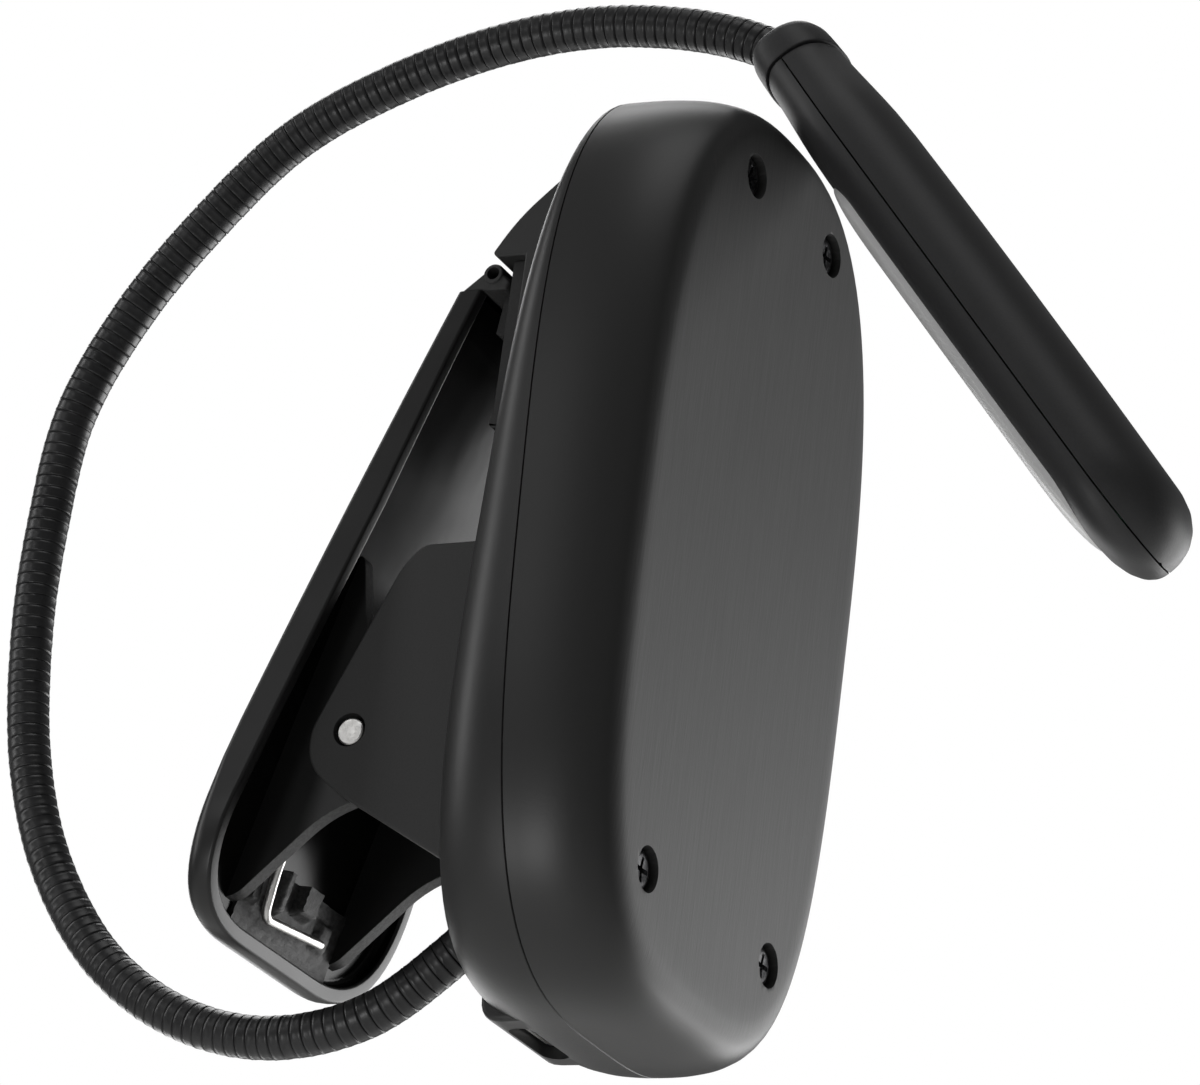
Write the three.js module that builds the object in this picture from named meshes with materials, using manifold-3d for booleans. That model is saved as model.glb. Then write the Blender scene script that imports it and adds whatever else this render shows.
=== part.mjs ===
// Clip-on reading lamp: a flat rechargeable base with a sprung jaw, a wound gooseneck and a slim head.
// Millimetres. +X runs across the base, +Y from the screw cover to the jaw, +Z up to the jaw's mouth.
// The origin is the middle of the fixed jaw's pad face, where the lamp grips what it is clipped to.
import * as THREE from "three";
import { mergeVertices } from "three/addons/utils/BufferGeometryUtils.js";
import Module from "manifold-3d";

const wasm = await Module();
wasm.setup();

// Housing. Its own frame has y = 0 on the cover's face and z = 0 at the middle of the screw pattern.
const FACE_HALF_WIDTH = 23.5;
const FACE_TOP = 45.1;
const FACE_BOTTOM = 46.9;
const TOP_POWER = 2.65;
const BOTTOM_POWER = 3.35;
const SEAM_Y = 10.8;
const BASE_DEPTH = 21.6;
// How far the outline grows from the cover's face to the seam: sides, top end, bottom end.
const SWELL = [5.6, 5.2, 6.4];
// How far it draws in again from the seam to the clamp face.
const TUCK = [7, 10.4, 4];
const FRONT_CURVE = 0.73;
const BACK_CURVE = 0.9;
const CLAMP_LEAN = 0.003; // share of the clamp half's depth that is lost for each millimetre up
const WALL = 1.8;
const GAP = 0.3;
const FAR = 200; // past every piece of the lamp
const CELL = [[-16, 6, -18], [16, 11, 28]];
const BOARD = [[-11, 12.4, -43], [11, 13.4, -28]];
const BOARD_ARM = [[10, 12.4, -30], [20, 13.4, 10]];
const SWITCH = [[17.4, 13.7, 1.5], [22.2, 17.6, 6.5]];

// Cover screws: a pattern that is narrower at the jaw end.
const SCREWS = [
  [-10, 39.5],
  [10, 39.5],
  [-15, -39.5],
  [15, -39.5],
];
const SCREW_RECESS_RADIUS = 2.4;
const SCREW_HEAD_RADIUS = 2.1;
const SCREW_SHANK_RADIUS = 1;
const SCREW_SUNK = 0.7;
const SCREW_HEAD_HEIGHT = 1.3;
const SCREW_TIP_Y = 13;
const CROSS_HALF_WIDTH = 1.3;
const CROSS_HALF_SLOT = 0.25;
const CROSS_DEPTH = 0.7;
const POST_RADIUS = 2.9;
const POST_START_Y = 4.4;
const SCREW_PAD_DEPTH = 4;

// Jaw: nose and pad on the housing, ears and pin, lever.
const NOSE_HALF_WIDTH = 14;
const NOSE_TOP = [19.8, 40.4];
const NOSE_TIP = [28.2, 31];
const PAD_TOP_Z = 30.4;
const PAD_BOTTOM_Z = 11.4;
const PAD_FACE_Y = 26;
const PAD_THICKNESS = 1.5;
const EAR_INNER_X = 12.5;
const EAR_THICKNESS = 2;
const PIN_Y = 36.7;
const PIN_Z = -23;
const PIN_RADIUS = 1.5;
const LEVER_TILT = 0.3023; // how far the lever's back leans out for each millimetre down
const LEVER_TIP_Z = 31;
const LEVER_TIP_Y = 29.6;
const LEVER_END_Z = -44.2;
const LEVER_TIP_HALF = 12;
const LEVER_END_HALF = 21.8;
const LEVER_CORNER = 13;
const LEVER_PLATE = 2;
const LEVER_RIM = 1.7;
const LEVER_RIM_HEIGHT = 1.5;
const LEVER_CUT_Z = 27.6; // where the plate ends under the rubber cap
const RIB_OUTER_X = 12.1;
const RIB_THICKNESS = 1.8;
const BEAD = [28.7, 29.6];
const BEAD_RADIUS = 1.1;
const BEAD_HOLE_RADIUS = 0.5;
const SPRING_HALF_LENGTH = 5.5;
const SPRING_WIRE = 1.1;

// Charging slot and the squared-off boss round it, at the bottom end.
const PORT_HALF_WIDTH = 7.6;
const PORT_END_Z = -52.6;
const PORT_Y = [13.8, 21];
const SLOT_Y = 17.6;
const SLOT_HALF_LENGTH = 3;
const SLOT_RADIUS = 1.6;
const SLOT_INNER_Z = -42;
const CHARGE_SOCKET_Z = [-51.5, -45];

// Power button, in the far side wall.
const BUTTON_Y = 16;
const BUTTON_Z = 4;
const BUTTON_HALF = 4.5;
const BUTTON_RADIUS = 2.2;
const BUTTON_X = [23.5, 28.6];

// Neck root: it leaves the clamp face halfway between outwards and down.
const ROOT_IN = [0, 19.6, -33.4];
const ROOT_OUT = [0, 26.8, -40.6];
const SOCKET_RADIUS = 4;

// Neck: the centre line in the plane x = 0, as [y, z] from the root to the head.
const NECK_RADIUS = 2.35;
const NECK_LINKS = 9;
const NECK_LINE = [
  [19.6, -33.4],
  [28.7, -42.5],
  [38, -49.2],
  [49.2, -51.4],
  [60.5, -49],
  [71, -42.4],
  [79.5, -31.4],
  [84.5, -19],
  [87, -4],
  [87.3, 9],
  [86, 22.5],
  [80.5, 34.5],
  [72.6, 45],
  [63, 54.4],
  [51, 60.3],
  [38, 63.9],
  [26.5, 64.8],
  [15.5, 63.4],
  [7.6, 61],
  [3.9, 59],
  [2.2, 57],
];

// Head. Its own frame has z along the head from the collar's end, y to its back and x across.
const HEAD_START = [3.55, 58.9];
const HEAD_DIRECTION = [-0.62, -0.785];
const HEAD_LENGTH = 79;
const HEAD_HALF_WIDTH = 9.4;
const HEAD_NECK_HALF_WIDTH = 6.6;
const HEAD_BACK = 6.2;
const HEAD_FRONT = 4.2;
const HEAD_WALL = 1.3;
const COLLAR_LENGTH = 4.6;
const WINDOW_START = 19;
const WINDOW_END = 73;
const WINDOW_HALF_WIDTH = 6.4;
const DOME_RISE = 1.3;
const LED_COUNT = 6;
const LED_PITCH = 9;
const LED_HALF_WIDTH = 1.4;
const LED_HEIGHT = 0.8;

const blackPlastic = finish(0x262626, 0.45, 0);
const coverPlastic = finish(0x4d4d4d, 0.5, 0);
const headPlastic = finish(0x2a2a2a, 0.6, 0);
const neckSkin = finish(0x1a1a1a, 0.4, 0.2);
const screwSteel = finish(0x18181a, 0.35, 0.9);
const brightSteel = finish(0xd0d0d0, 0.25, 1);
const blackRubber = finish(0x1c1c1c, 0.8, 0);
const milkyPlastic = finish(0xe6e8e8, 0.4, 0);
const boardGreen = finish(0x1d5a38, 0.6, 0);
const cellFoil = finish(0xb4b6ba, 0.4, 0.6);
const ledYellow = finish(0xf0dc8c, 0.4, 0);

function finish(color, roughness, metalness) {
  return new THREE.MeshStandardMaterial({ color, roughness, metalness });
}

// A closed geometry as a solid, so that it can be joined and cut.
function solid(geometry) {
  const bare = geometry.index ? geometry.toNonIndexed() : geometry.clone();
  bare.deleteAttribute("normal");
  bare.deleteAttribute("uv");
  const merged = mergeVertices(bare, 1e-4);
  return new wasm.Manifold(
    new wasm.Mesh({
      numProp: 3,
      vertProperties: merged.attributes.position.array,
      triVerts: new Uint32Array(merged.index.array),
    }),
  );
}

function pieceOf(name, shape, material) {
  const mesh = shape.getMesh();
  const geometry = new THREE.BufferGeometry();
  geometry.setAttribute("position", new THREE.BufferAttribute(mesh.vertProperties, 3));
  geometry.setIndex(new THREE.BufferAttribute(mesh.triVerts, 1));
  geometry.computeVertexNormals();
  const piece = new THREE.Mesh(geometry, material);
  piece.name = name;
  return piece;
}

// A closed skin over rings of points, each ring as long as the next, with a fan at either end.
function loft(rings) {
  const count = rings[0].length;
  const points = rings.flat();
  const first = points.push(middle(rings[0])) - 1;
  const last = points.push(middle(rings[rings.length - 1])) - 1;
  const faces = [];
  for (let j = 0; j < count; j++) {
    const k = (j + 1) % count;
    const top = (rings.length - 1) * count;
    faces.push(first, j, k, last, top + k, top + j);
    for (let i = 0; i < rings.length - 1; i++) {
      const a = i * count + j;
      const b = i * count + k;
      faces.push(a, a + count, b, b, a + count, b + count);
    }
  }
  const geometry = new THREE.BufferGeometry().setFromPoints(points);
  geometry.setIndex(faces);
  return solid(geometry);
}

function middle(ring) {
  const sum = new THREE.Vector3();
  ring.forEach((p) => sum.add(p));
  return sum.divideScalar(ring.length);
}

function block(low, high) {
  const size = high.map((v, i) => v - low[i]);
  const box = new THREE.BoxGeometry(...size);
  box.translate(...high.map((v, i) => (v + low[i]) / 2));
  return solid(box);
}

// A round bar between two points; a second radius makes it a cone.
function bar(from, to, radius, endRadius = radius, sides = 20) {
  const start = new THREE.Vector3(...from);
  const along = new THREE.Vector3(...to).sub(start);
  const length = along.length();
  const rod = new THREE.CylinderGeometry(endRadius, radius, length, sides);
  rod.translate(0, length / 2, 0);
  const up = new THREE.Vector3(0, 1, 0);
  rod.applyQuaternion(new THREE.Quaternion().setFromUnitVectors(up, along.normalize()));
  rod.translate(...from);
  return solid(rod);
}

// A profile of [y, z, corner radius] in the side plane, spread from x = low to x = high.
function sideSlab(corners, low, high) {
  const geometry = new THREE.ExtrudeGeometry(roundedShape(corners), {
    depth: high - low,
    bevelEnabled: false,
    curveSegments: 4,
  });
  const turn = new THREE.Matrix4().makeBasis(
    new THREE.Vector3(0, 1, 0),
    new THREE.Vector3(0, 0, 1),
    new THREE.Vector3(1, 0, 0),
  );
  geometry.applyMatrix4(turn);
  geometry.translate(low, 0, 0);
  return solid(geometry);
}

function roundedShape(corners) {
  const shape = new THREE.Shape();
  corners.forEach(([u, v, radius = 0], i) => {
    const corner = new THREE.Vector2(u, v);
    const before = new THREE.Vector2(...corners.at(i - 1));
    const after = new THREE.Vector2(...corners[(i + 1) % corners.length]);
    const entry = before.sub(corner).setLength(radius).add(corner);
    const exit = after.sub(corner).setLength(radius).add(corner);
    if (i === 0) shape.moveTo(entry.x, entry.y);
    else shape.lineTo(entry.x, entry.y);
    if (radius > 0) shape.quadraticCurveTo(u, v, exit.x, exit.y);
  });
  shape.closePath();
  return shape;
}

const power = (value, exponent) => Math.sign(value) * Math.abs(value) ** exponent;

// One ring of the housing's outline: an oval that is squarer at the bottom end than at the jaw end.
function housingRing(y, halfWidth, top, bottom) {
  const ring = [];
  const count = 48;
  for (let i = 0; i < count; i++) {
    const angle = (i / count) * 2 * Math.PI;
    const c = Math.cos(angle);
    const s = Math.sin(angle);
    const exponent = 2 / (s > 0 ? TOP_POWER : BOTTOM_POWER);
    const reach = s > 0 ? top : bottom;
    ring.push(new THREE.Vector3(halfWidth * power(c, exponent), y, reach * power(s, exponent)));
  }
  return ring;
}

// The whole pebble, drawn in by inset on every side: it swells from the cover's face to the seam
// and tucks in again to the clamp face.
function pebble(inset) {
  const face = [FACE_HALF_WIDTH, FACE_TOP, FACE_BOTTOM];
  const rings = [];
  const steps = 5;
  const add = (y, swell, tuck) => {
    const sizes = face.map((v, i) => v + SWELL[i] * swell - TUCK[i] * tuck - inset);
    rings.push(housingRing(y, ...sizes));
  };
  for (let i = 0; i <= steps; i++) {
    const angle = (i / steps) * (Math.PI / 2);
    const y = inset + (SEAM_Y - inset) * (1 - Math.cos(angle) ** FRONT_CURVE);
    add(y, Math.sin(angle) ** FRONT_CURVE, 0);
  }
  for (let i = 1; i <= steps; i++) {
    const angle = (i / steps) * (Math.PI / 2);
    const y = SEAM_Y + (BASE_DEPTH - inset - SEAM_Y) * Math.sin(angle) ** BACK_CURVE;
    add(y, 1, 1 - Math.cos(angle) ** BACK_CURVE);
  }
  rings.flat().forEach(leanBack);
  return loft(rings);
}

// The clamp half is a wedge: it grows thinner towards the jaw.
function leanBack(point) {
  const depth = Math.max(point.y - SEAM_Y, 0);
  point.y -= depth * CLAMP_LEAN * (point.z + FACE_BOTTOM);
}

const housingSkin = pebble(0).subtract(pebble(WALL));

function baseCover() {
  let cover = housingSkin.intersect(block([-FAR, -1, -FAR], [FAR, SEAM_Y - GAP / 2, FAR]));
  const floor = SCREW_PAD_DEPTH;
  for (const [x, z] of SCREWS) {
    const pad = bar([x, 0.6, z], [x, floor, z], POST_RADIUS + 0.8);
    cover = cover.add(pad.intersect(pebble(0.4)));
  }
  for (const [x, z] of SCREWS) {
    cover = cover
      .subtract(bar([x, -1, z], [x, SCREW_SUNK + SCREW_HEAD_HEIGHT + GAP, z], SCREW_RECESS_RADIUS))
      .subtract(bar([x, -1, z], [x, floor + 1, z], SCREW_SHANK_RADIUS + GAP, undefined, 12));
  }
  return cover;
}

function coverScrew([x, z]) {
  const headTop = SCREW_SUNK;
  const headBottom = SCREW_SUNK + SCREW_HEAD_HEIGHT;
  const slot = (halfX, halfZ) =>
    block([x - halfX, headTop - 1, z - halfZ], [x + halfX, headTop + CROSS_DEPTH, z + halfZ]);
  const cross = slot(CROSS_HALF_WIDTH, CROSS_HALF_SLOT).add(slot(CROSS_HALF_SLOT, CROSS_HALF_WIDTH));
  return bar([x, headTop, z], [x, headBottom, z], SCREW_HEAD_RADIUS)
    .add(bar([x, headBottom - 0.2, z], [x, SCREW_TIP_Y, z], SCREW_SHANK_RADIUS, undefined, 12))
    .subtract(cross);
}

// The two ears that carry the pin: a straight slope out to a round nose and back.
function pivotEar(side) {
  const low = side > 0 ? EAR_INNER_X : -EAR_INNER_X - EAR_THICKNESS;
  const outline = [
    [BASE_DEPTH - 2.4, -38.9],
    [37.4, -29.7, 2.4],
    [40.9, -26.8, 1.8],
    [41.6, -23.2, 1.8],
    [33.3, -4.6, 1.6],
    [31.2, -2.4, 1.2],
    [BASE_DEPTH - 2.4, -2.4],
  ];
  return sideSlab(outline, low, low + EAR_THICKNESS);
}

function jawNose() {
  const backY = BASE_DEPTH - 7;
  const ledge = PAD_FACE_Y - PAD_THICKNESS - GAP;
  const outline = [
    [backY, PAD_BOTTOM_Z - 0.6],
    [ledge, PAD_BOTTOM_Z - 0.6, 0.4],
    [ledge, PAD_TOP_Z + GAP],
    [NOSE_TIP[0] - 0.6, PAD_TOP_Z + GAP],
    [...NOSE_TIP, 0.5],
    [...NOSE_TOP, 1.4],
    [backY, NOSE_TOP[1] + 0.4],
  ];
  const nose = sideSlab(outline, -NOSE_HALF_WIDTH, NOSE_HALF_WIDTH);
  return nose.intersect(noseLimit()).subtract(pebble(WALL));
}

// The nose follows the housing's outline round the top end.
function noseLimit() {
  const reach = [BASE_DEPTH - 8, BASE_DEPTH + 20];
  return loft(reach.map((y) => housingRing(y, FACE_HALF_WIDTH, FACE_TOP - 4, FACE_BOTTOM)));
}

function portBoss() {
  const outline = [
    [PORT_Y[0], -44],
    [PORT_Y[0], PORT_END_Z, 1.6],
    [PORT_Y[1], PORT_END_Z, 2.4],
    [PORT_Y[1], -44],
  ];
  return sideSlab(outline, -PORT_HALF_WIDTH, PORT_HALF_WIDTH).subtract(pebble(WALL));
}

function slotHole(margin, from, to) {
  const half = SLOT_HALF_LENGTH + margin;
  const thick = SLOT_RADIUS + margin;
  const ring = (z) => {
    const points = [];
    for (let i = 0; i < 16; i++) {
      const angle = ((i + 0.5) / 16) * 2 * Math.PI;
      const c = Math.cos(angle);
      const x = Math.sign(c) * half + thick * c;
      points.push(new THREE.Vector3(x, SLOT_Y + thick * Math.sin(angle), z));
    }
    return points;
  };
  return loft([ring(to), ring(from)]);
}

function buttonShape(margin, low, high) {
  const z = [BUTTON_Z - BUTTON_HALF, BUTTON_Z + BUTTON_HALF];
  const r = BUTTON_RADIUS + margin;
  const ends = z.map((v) => bar([low, BUTTON_Y, v], [high, BUTTON_Y, v], r, undefined, 16));
  const web = block([low, BUTTON_Y - r, z[0]], [high, BUTTON_Y + r, z[1]]);
  return ends[0].add(ends[1]).add(web);
}

function clampShell() {
  let shell = housingSkin.intersect(block([-FAR, SEAM_Y + GAP / 2, -FAR], [FAR, FAR, FAR]));
  shell = shell.add(pivotEar(-1)).add(pivotEar(1)).add(jawNose()).add(portBoss());
  for (const [x, z] of SCREWS) {
    const post = bar([x, POST_START_Y, z], [x, BASE_DEPTH - 1, z], POST_RADIUS, undefined, 16);
    shell = shell.add(post.intersect(pebble(WALL / 2)));
  }
  for (const [x, z] of SCREWS) {
    const radius = SCREW_SHANK_RADIUS + GAP;
    const pilot = bar([x, SCREW_PAD_DEPTH, z], [x, SCREW_TIP_Y + 1, z], radius, undefined, 12);
    shell = shell.subtract(pilot);
  }
  const reach = EAR_INNER_X + EAR_THICKNESS + 1;
  return shell
    .subtract(bar([-reach, PIN_Y, PIN_Z], [reach, PIN_Y, PIN_Z], PIN_RADIUS + GAP))
    .subtract(bar(ROOT_IN, ROOT_OUT, SOCKET_RADIUS + GAP))
    .subtract(slotHole(0, PORT_END_Z - 1, SLOT_INNER_Z))
    .subtract(buttonShape(GAP, BUTTON_X[0] - 2.5, BUTTON_X[1] + 2.4));
}

function pivotPin() {
  const reach = EAR_INNER_X + EAR_THICKNESS;
  return bar([-reach, PIN_Y, PIN_Z], [reach, PIN_Y, PIN_Z], PIN_RADIUS);
}

// The spring as the ring of space that its turns fill, round the middle of the pin.
function torsionSpring() {
  const half = SPRING_HALF_LENGTH;
  const inner = PIN_RADIUS + 0.5;
  const outer = inner + SPRING_WIRE;
  const profile = [
    new THREE.Vector2(inner, -half),
    new THREE.Vector2(outer, -half),
    new THREE.Vector2(outer, half),
    new THREE.Vector2(inner, half),
    new THREE.Vector2(inner, -half),
  ];
  const ring = new THREE.LatheGeometry(profile, 20);
  ring.rotateZ(-Math.PI / 2);
  ring.translate(0, PIN_Y, PIN_Z);
  return solid(ring);
}

function neckSocket() {
  const from = ROOT_IN.map((v, i) => v - (ROOT_OUT[i] - v) * 0.15);
  const to = ROOT_OUT.map((v, i) => v + (v - ROOT_IN[i]) * 0.3);
  return bar(ROOT_IN, ROOT_OUT, SOCKET_RADIUS).subtract(bar(from, to, NECK_RADIUS + GAP));
}

function jawPad() {
  const back = PAD_FACE_Y - PAD_THICKNESS;
  const outline = [
    [back, PAD_BOTTOM_Z, 0.3],
    [PAD_FACE_Y, PAD_BOTTOM_Z, 0.4],
    [PAD_FACE_Y, PAD_TOP_Z, 0.4],
    [back, PAD_TOP_Z, 0.3],
  ];
  return sideSlab(outline, -NOSE_HALF_WIDTH + 1.2, NOSE_HALF_WIDTH - 1.2);
}

// Lever. Its back is a plane that leans out towards the press end.
const leverBackY = (z) => LEVER_TIP_Y + (LEVER_TIP_Z - z) * LEVER_TILT;

function leverOutline(inset) {
  const wide = LEVER_END_HALF - inset;
  const narrow = LEVER_TIP_HALF - inset;
  return roundedShape([
    [wide, LEVER_END_Z + inset, LEVER_CORNER - inset],
    [narrow, LEVER_TIP_Z],
    [-narrow, LEVER_TIP_Z],
    [-wide, LEVER_END_Z + inset, LEVER_CORNER - inset],
  ]);
}

// The outline, taken through the lever from depth low to depth high under its back.
function leverLayer(inset, low, high) {
  const geometry = new THREE.ExtrudeGeometry(leverOutline(inset), {
    depth: high - low,
    bevelEnabled: false,
    curveSegments: 5,
  });
  const lean = new THREE.Matrix4().set(
    1, 0, 0, 0,
    0, -LEVER_TILT, -1, leverBackY(0) - low,
    0, 1, 0, 0,
    0, 0, 0, 1,
  );
  geometry.applyMatrix4(lean);
  return solid(geometry);
}

function leverRib(side) {
  const low = side > 0 ? RIB_OUTER_X - RIB_THICKNESS : -RIB_OUTER_X;
  const outline = [
    [leverBackY(-39.5) - 1, -39.5],
    [leverBackY(-3) - 1, -3],
    [leverBackY(-3) - 2.4, -3.4, 1],
    [34, -15.5, 2.6],
    [31.4, -20, 2.4],
    [31.6, -28.6, 3.5],
    [39.2, -30.6, 3.5],
    [leverBackY(-39.5) - 2.4, -39.3, 1],
  ];
  return sideSlab(outline, low, low + RIB_THICKNESS);
}

// The ledge across the press end, between the ribs, where the spring's foot rests.
function leverLedge() {
  const inner = RIB_OUTER_X - 0.5;
  const outline = [
    [leverBackY(-41.6) - 1, -41.6],
    [leverBackY(-35.4) - 1, -35.4],
    [leverBackY(-35.4) - 3.2, -35.9, 0.8],
    [leverBackY(-41.6) - 3.2, -41.4, 0.8],
  ];
  return sideSlab(outline, -inner, inner);
}

function leverArm() {
  const rim = LEVER_PLATE + LEVER_RIM_HEIGHT;
  const tray = leverLayer(0, 0, rim).subtract(leverLayer(LEVER_RIM, LEVER_PLATE, rim + 1));
  return tray
    .add(leverRib(-1))
    .add(leverRib(1))
    .add(leverLedge())
    .subtract(
      bar([-FAR, PIN_Y, PIN_Z], [FAR, PIN_Y, PIN_Z], PIN_RADIUS + GAP),
    )
    .subtract(block([-FAR, 0, LEVER_CUT_Z], [FAR, 60, FAR]));
}

// The rubber cap on the lever's tip: a rolled bead at the end and a ridged pad under the plate.
function leverGrip() {
  const half = LEVER_TIP_HALF - 0.3;
  const padHalf = LEVER_TIP_HALF - LEVER_RIM - GAP - 0.1;
  const under = PAD_FACE_Y + 0.4;
  const cap = [
    [leverBackY(LEVER_CUT_Z) - 0.2, LEVER_CUT_Z + GAP],
    [27, LEVER_CUT_Z + GAP],
    [under + 0.2, 28.6, 0.4],
    [27.8, 29.6],
    [29.7, 29.8, 0.4],
  ];
  const pad = [
    [28, LEVER_CUT_Z + GAP + 0.4],
    [28.6, 23.6],
    [27.8, 23.1],
    [under, 25.4, 0.5],
    [under, 28.4, 0.5],
  ];
  return sideSlab(cap, -half, half)
    .add(sideSlab(pad, -padHalf, padHalf))
    .add(bar([-half, ...BEAD], [half, ...BEAD], BEAD_RADIUS, undefined, 16))
    .subtract(bar([-half - 1, ...BEAD], [half + 1, ...BEAD], BEAD_HOLE_RADIUS, undefined, 10));
}

// Neck links: lengths of the wound tube with a round nose at each end, so that they can bend.
const neckCurve = new THREE.CatmullRomCurve3(
  NECK_LINE.map(([y, z]) => new THREE.Vector3(0, y, z)),
  false,
  "centripetal",
);
neckCurve.arcLengthDivisions = 800;
const neckLength = neckCurve.getLength();

function neckRing(distance, radius) {
  const u = Math.min(Math.max(distance / neckLength, 0), 1);
  const centre = neckCurve.getPointAt(u);
  const tangent = neckCurve.getTangentAt(u);
  const across = new THREE.Vector3(1, 0, 0);
  const up = new THREE.Vector3().crossVectors(tangent, across);
  const ring = [];
  for (let i = 0; i < 12; i++) {
    const angle = (i / 12) * 2 * Math.PI;
    const point = centre.clone();
    point.addScaledVector(across, radius * Math.cos(angle));
    point.addScaledVector(up, -radius * Math.sin(angle));
    ring.push(point);
  }
  return ring;
}

function neckLink(index) {
  const pitch = neckLength / NECK_LINKS;
  const start = index * pitch + GAP / 2;
  const end = (index + 1) * pitch - GAP / 2;
  const rings = [];
  const nose = [0.12, 0.5, 0.87];
  const setBack = (share) => NECK_RADIUS * (1 - Math.sqrt(1 - share * share));
  for (const share of nose) rings.push(neckRing(start + setBack(share), NECK_RADIUS * share));
  const steps = 4;
  for (let i = 0; i <= steps; i++) {
    const from = start + NECK_RADIUS;
    const to = end - NECK_RADIUS;
    rings.push(neckRing(from + ((to - from) * i) / steps, NECK_RADIUS));
  }
  for (const share of nose.reverse()) rings.push(neckRing(end - setBack(share), NECK_RADIUS * share));
  return loft(rings);
}

// Head body at a distance along it: half width, and half thickness as a share of the full one.
function headSize(z) {
  const endRadius = HEAD_HALF_WIDTH;
  const left = HEAD_LENGTH - z;
  const round = left < endRadius ? Math.sqrt(Math.max(0, 1 - (1 - left / endRadius) ** 2)) : 1;
  const noseThick = left < HEAD_BACK ? Math.sqrt(Math.max(0, 1 - (1 - left / HEAD_BACK) ** 2)) : 1;
  const shoulder = THREE.MathUtils.smoothstep(z, 2, 17);
  return {
    half: round * (HEAD_NECK_HALF_WIDTH + (HEAD_HALF_WIDTH - HEAD_NECK_HALF_WIDTH) * shoulder),
    thick: noseThick * (0.8 + 0.2 * shoulder),
  };
}

function headRing(z, inset) {
  const { half, thick } = headSize(z);
  const ring = [];
  for (let i = 0; i < 28; i++) {
    const angle = (i / 28) * 2 * Math.PI;
    const s = Math.sin(angle);
    const depth = (s > 0 ? HEAD_BACK : HEAD_FRONT) * thick - inset;
    const x = Math.max(half - inset, 0.05) * power(Math.cos(angle), 0.85);
    ring.push(new THREE.Vector3(-x, Math.max(depth, 0.05) * power(s, 0.85), z));
  }
  return ring;
}

function headForm(inset, from, to) {
  const stops = [from, 8, 12, 17, 40, 64, 70, 73.5, 76, 77.6, 78.6, 78.95];
  const rings = stops.filter((z) => z >= from && z <= to).map((z) => headRing(z, inset));
  return loft(rings);
}

function headHalf(back) {
  const skin = headForm(0, COLLAR_LENGTH + GAP, HEAD_LENGTH).subtract(
    headForm(HEAD_WALL, COLLAR_LENGTH + GAP + HEAD_WALL, HEAD_LENGTH - HEAD_WALL),
  );
  const mouth = bar([0, 0, 0], [0, 0, 9], NECK_RADIUS + 1, undefined, 12);
  const side = back
    ? block([-FAR, GAP / 2, -FAR], [FAR, FAR, FAR])
    : block([-FAR, -FAR, -FAR], [FAR, -GAP / 2, FAR]);
  const half = skin.subtract(mouth).intersect(side);
  return back ? half : half.subtract(windowShape(GAP, -9, -1));
}

function windowShape(margin, low, high) {
  const r = WINDOW_HALF_WIDTH + margin;
  const z = [WINDOW_START + WINDOW_HALF_WIDTH, WINDOW_END - WINDOW_HALF_WIDTH];
  const ends = z.map((v) => bar([0, low, v], [0, high, v], r, undefined, 24));
  return ends[0].add(ends[1]).add(block([-r, low, z[0]], [r, high, z[1]]));
}

function headCollar() {
  const stops = [
    [0, 0.72],
    [0.5, 0.88],
    [1.5, 1],
    [COLLAR_LENGTH, 1],
  ];
  const rings = stops.map(([z, share]) =>
    headRing(Math.max(z, 1), 0).map((p) => new THREE.Vector3(p.x * share, p.y * share, z)),
  );
  return loft(rings).subtract(bar([0, 0, -1], [0, 0, 9], NECK_RADIUS + GAP, undefined, 16));
}

// The milky window fills the opening in the front shell and stands out of it as a low dome.
function headDiffuser() {
  const middleZ = (WINDOW_START + WINDOW_END) / 2;
  const halfLength = (WINDOW_END - WINDOW_START) / 2;
  const ring = (share, depth) => {
    const points = [];
    for (let i = 0; i < 32; i++) {
      const angle = (i / 32) * 2 * Math.PI;
      const x = WINDOW_HALF_WIDTH * share * power(Math.cos(angle), 0.9);
      const z = middleZ + (halfLength - 3 * (1 - share)) * power(Math.sin(angle), 0.35);
      points.push(new THREE.Vector3(x, depth, z));
    }
    return points;
  };
  const base = ring(1, -HEAD_FRONT + 1.2);
  const domes = [0, 0.35, 0.7, 0.92].map((s) => ring(Math.sqrt(1 - s * s), -HEAD_FRONT - DOME_RISE * s));
  return loft([base, ...domes].reverse()).intersect(windowShape(0, -9, 0));
}

function ledBoard() {
  return block([-5.2, -HEAD_FRONT + 2.7, 18], [5.2, -HEAD_FRONT + 3.7, 70]);
}

function led(index) {
  const z = (WINDOW_START + WINDOW_END) / 2 + (index - (LED_COUNT - 1) / 2) * LED_PITCH;
  const y = -HEAD_FRONT + 2.4;
  const half = LED_HALF_WIDTH;
  return block([-half, y - LED_HEIGHT, z - half], [half, y, z + half]);
}

function baseGroup() {
  const group = new THREE.Group();
  group.add(pieceOf("base_cover", baseCover(), coverPlastic));
  group.add(pieceOf("clamp_shell", clampShell(), blackPlastic));
  SCREWS.forEach((place, i) => {
    group.add(pieceOf("cover_screw_" + (i + 1), coverScrew(place), screwSteel));
  });
  group.add(pieceOf("battery_cell", block(...CELL), cellFoil));
  group.add(pieceOf("circuit_board", circuitBoard(), boardGreen));
  group.add(pieceOf("charge_socket", slotHole(-GAP, ...CHARGE_SOCKET_Z), brightSteel));
  group.add(pieceOf("push_switch", block(...SWITCH), screwSteel));
  group.add(pieceOf("jaw_pad", jawPad(), blackRubber));
  group.add(pieceOf("pivot_pin", pivotPin(), brightSteel));
  group.add(pieceOf("torsion_spring", torsionSpring(), brightSteel));
  group.add(pieceOf("neck_socket", neckSocket(), blackPlastic));
  return group;
}

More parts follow.
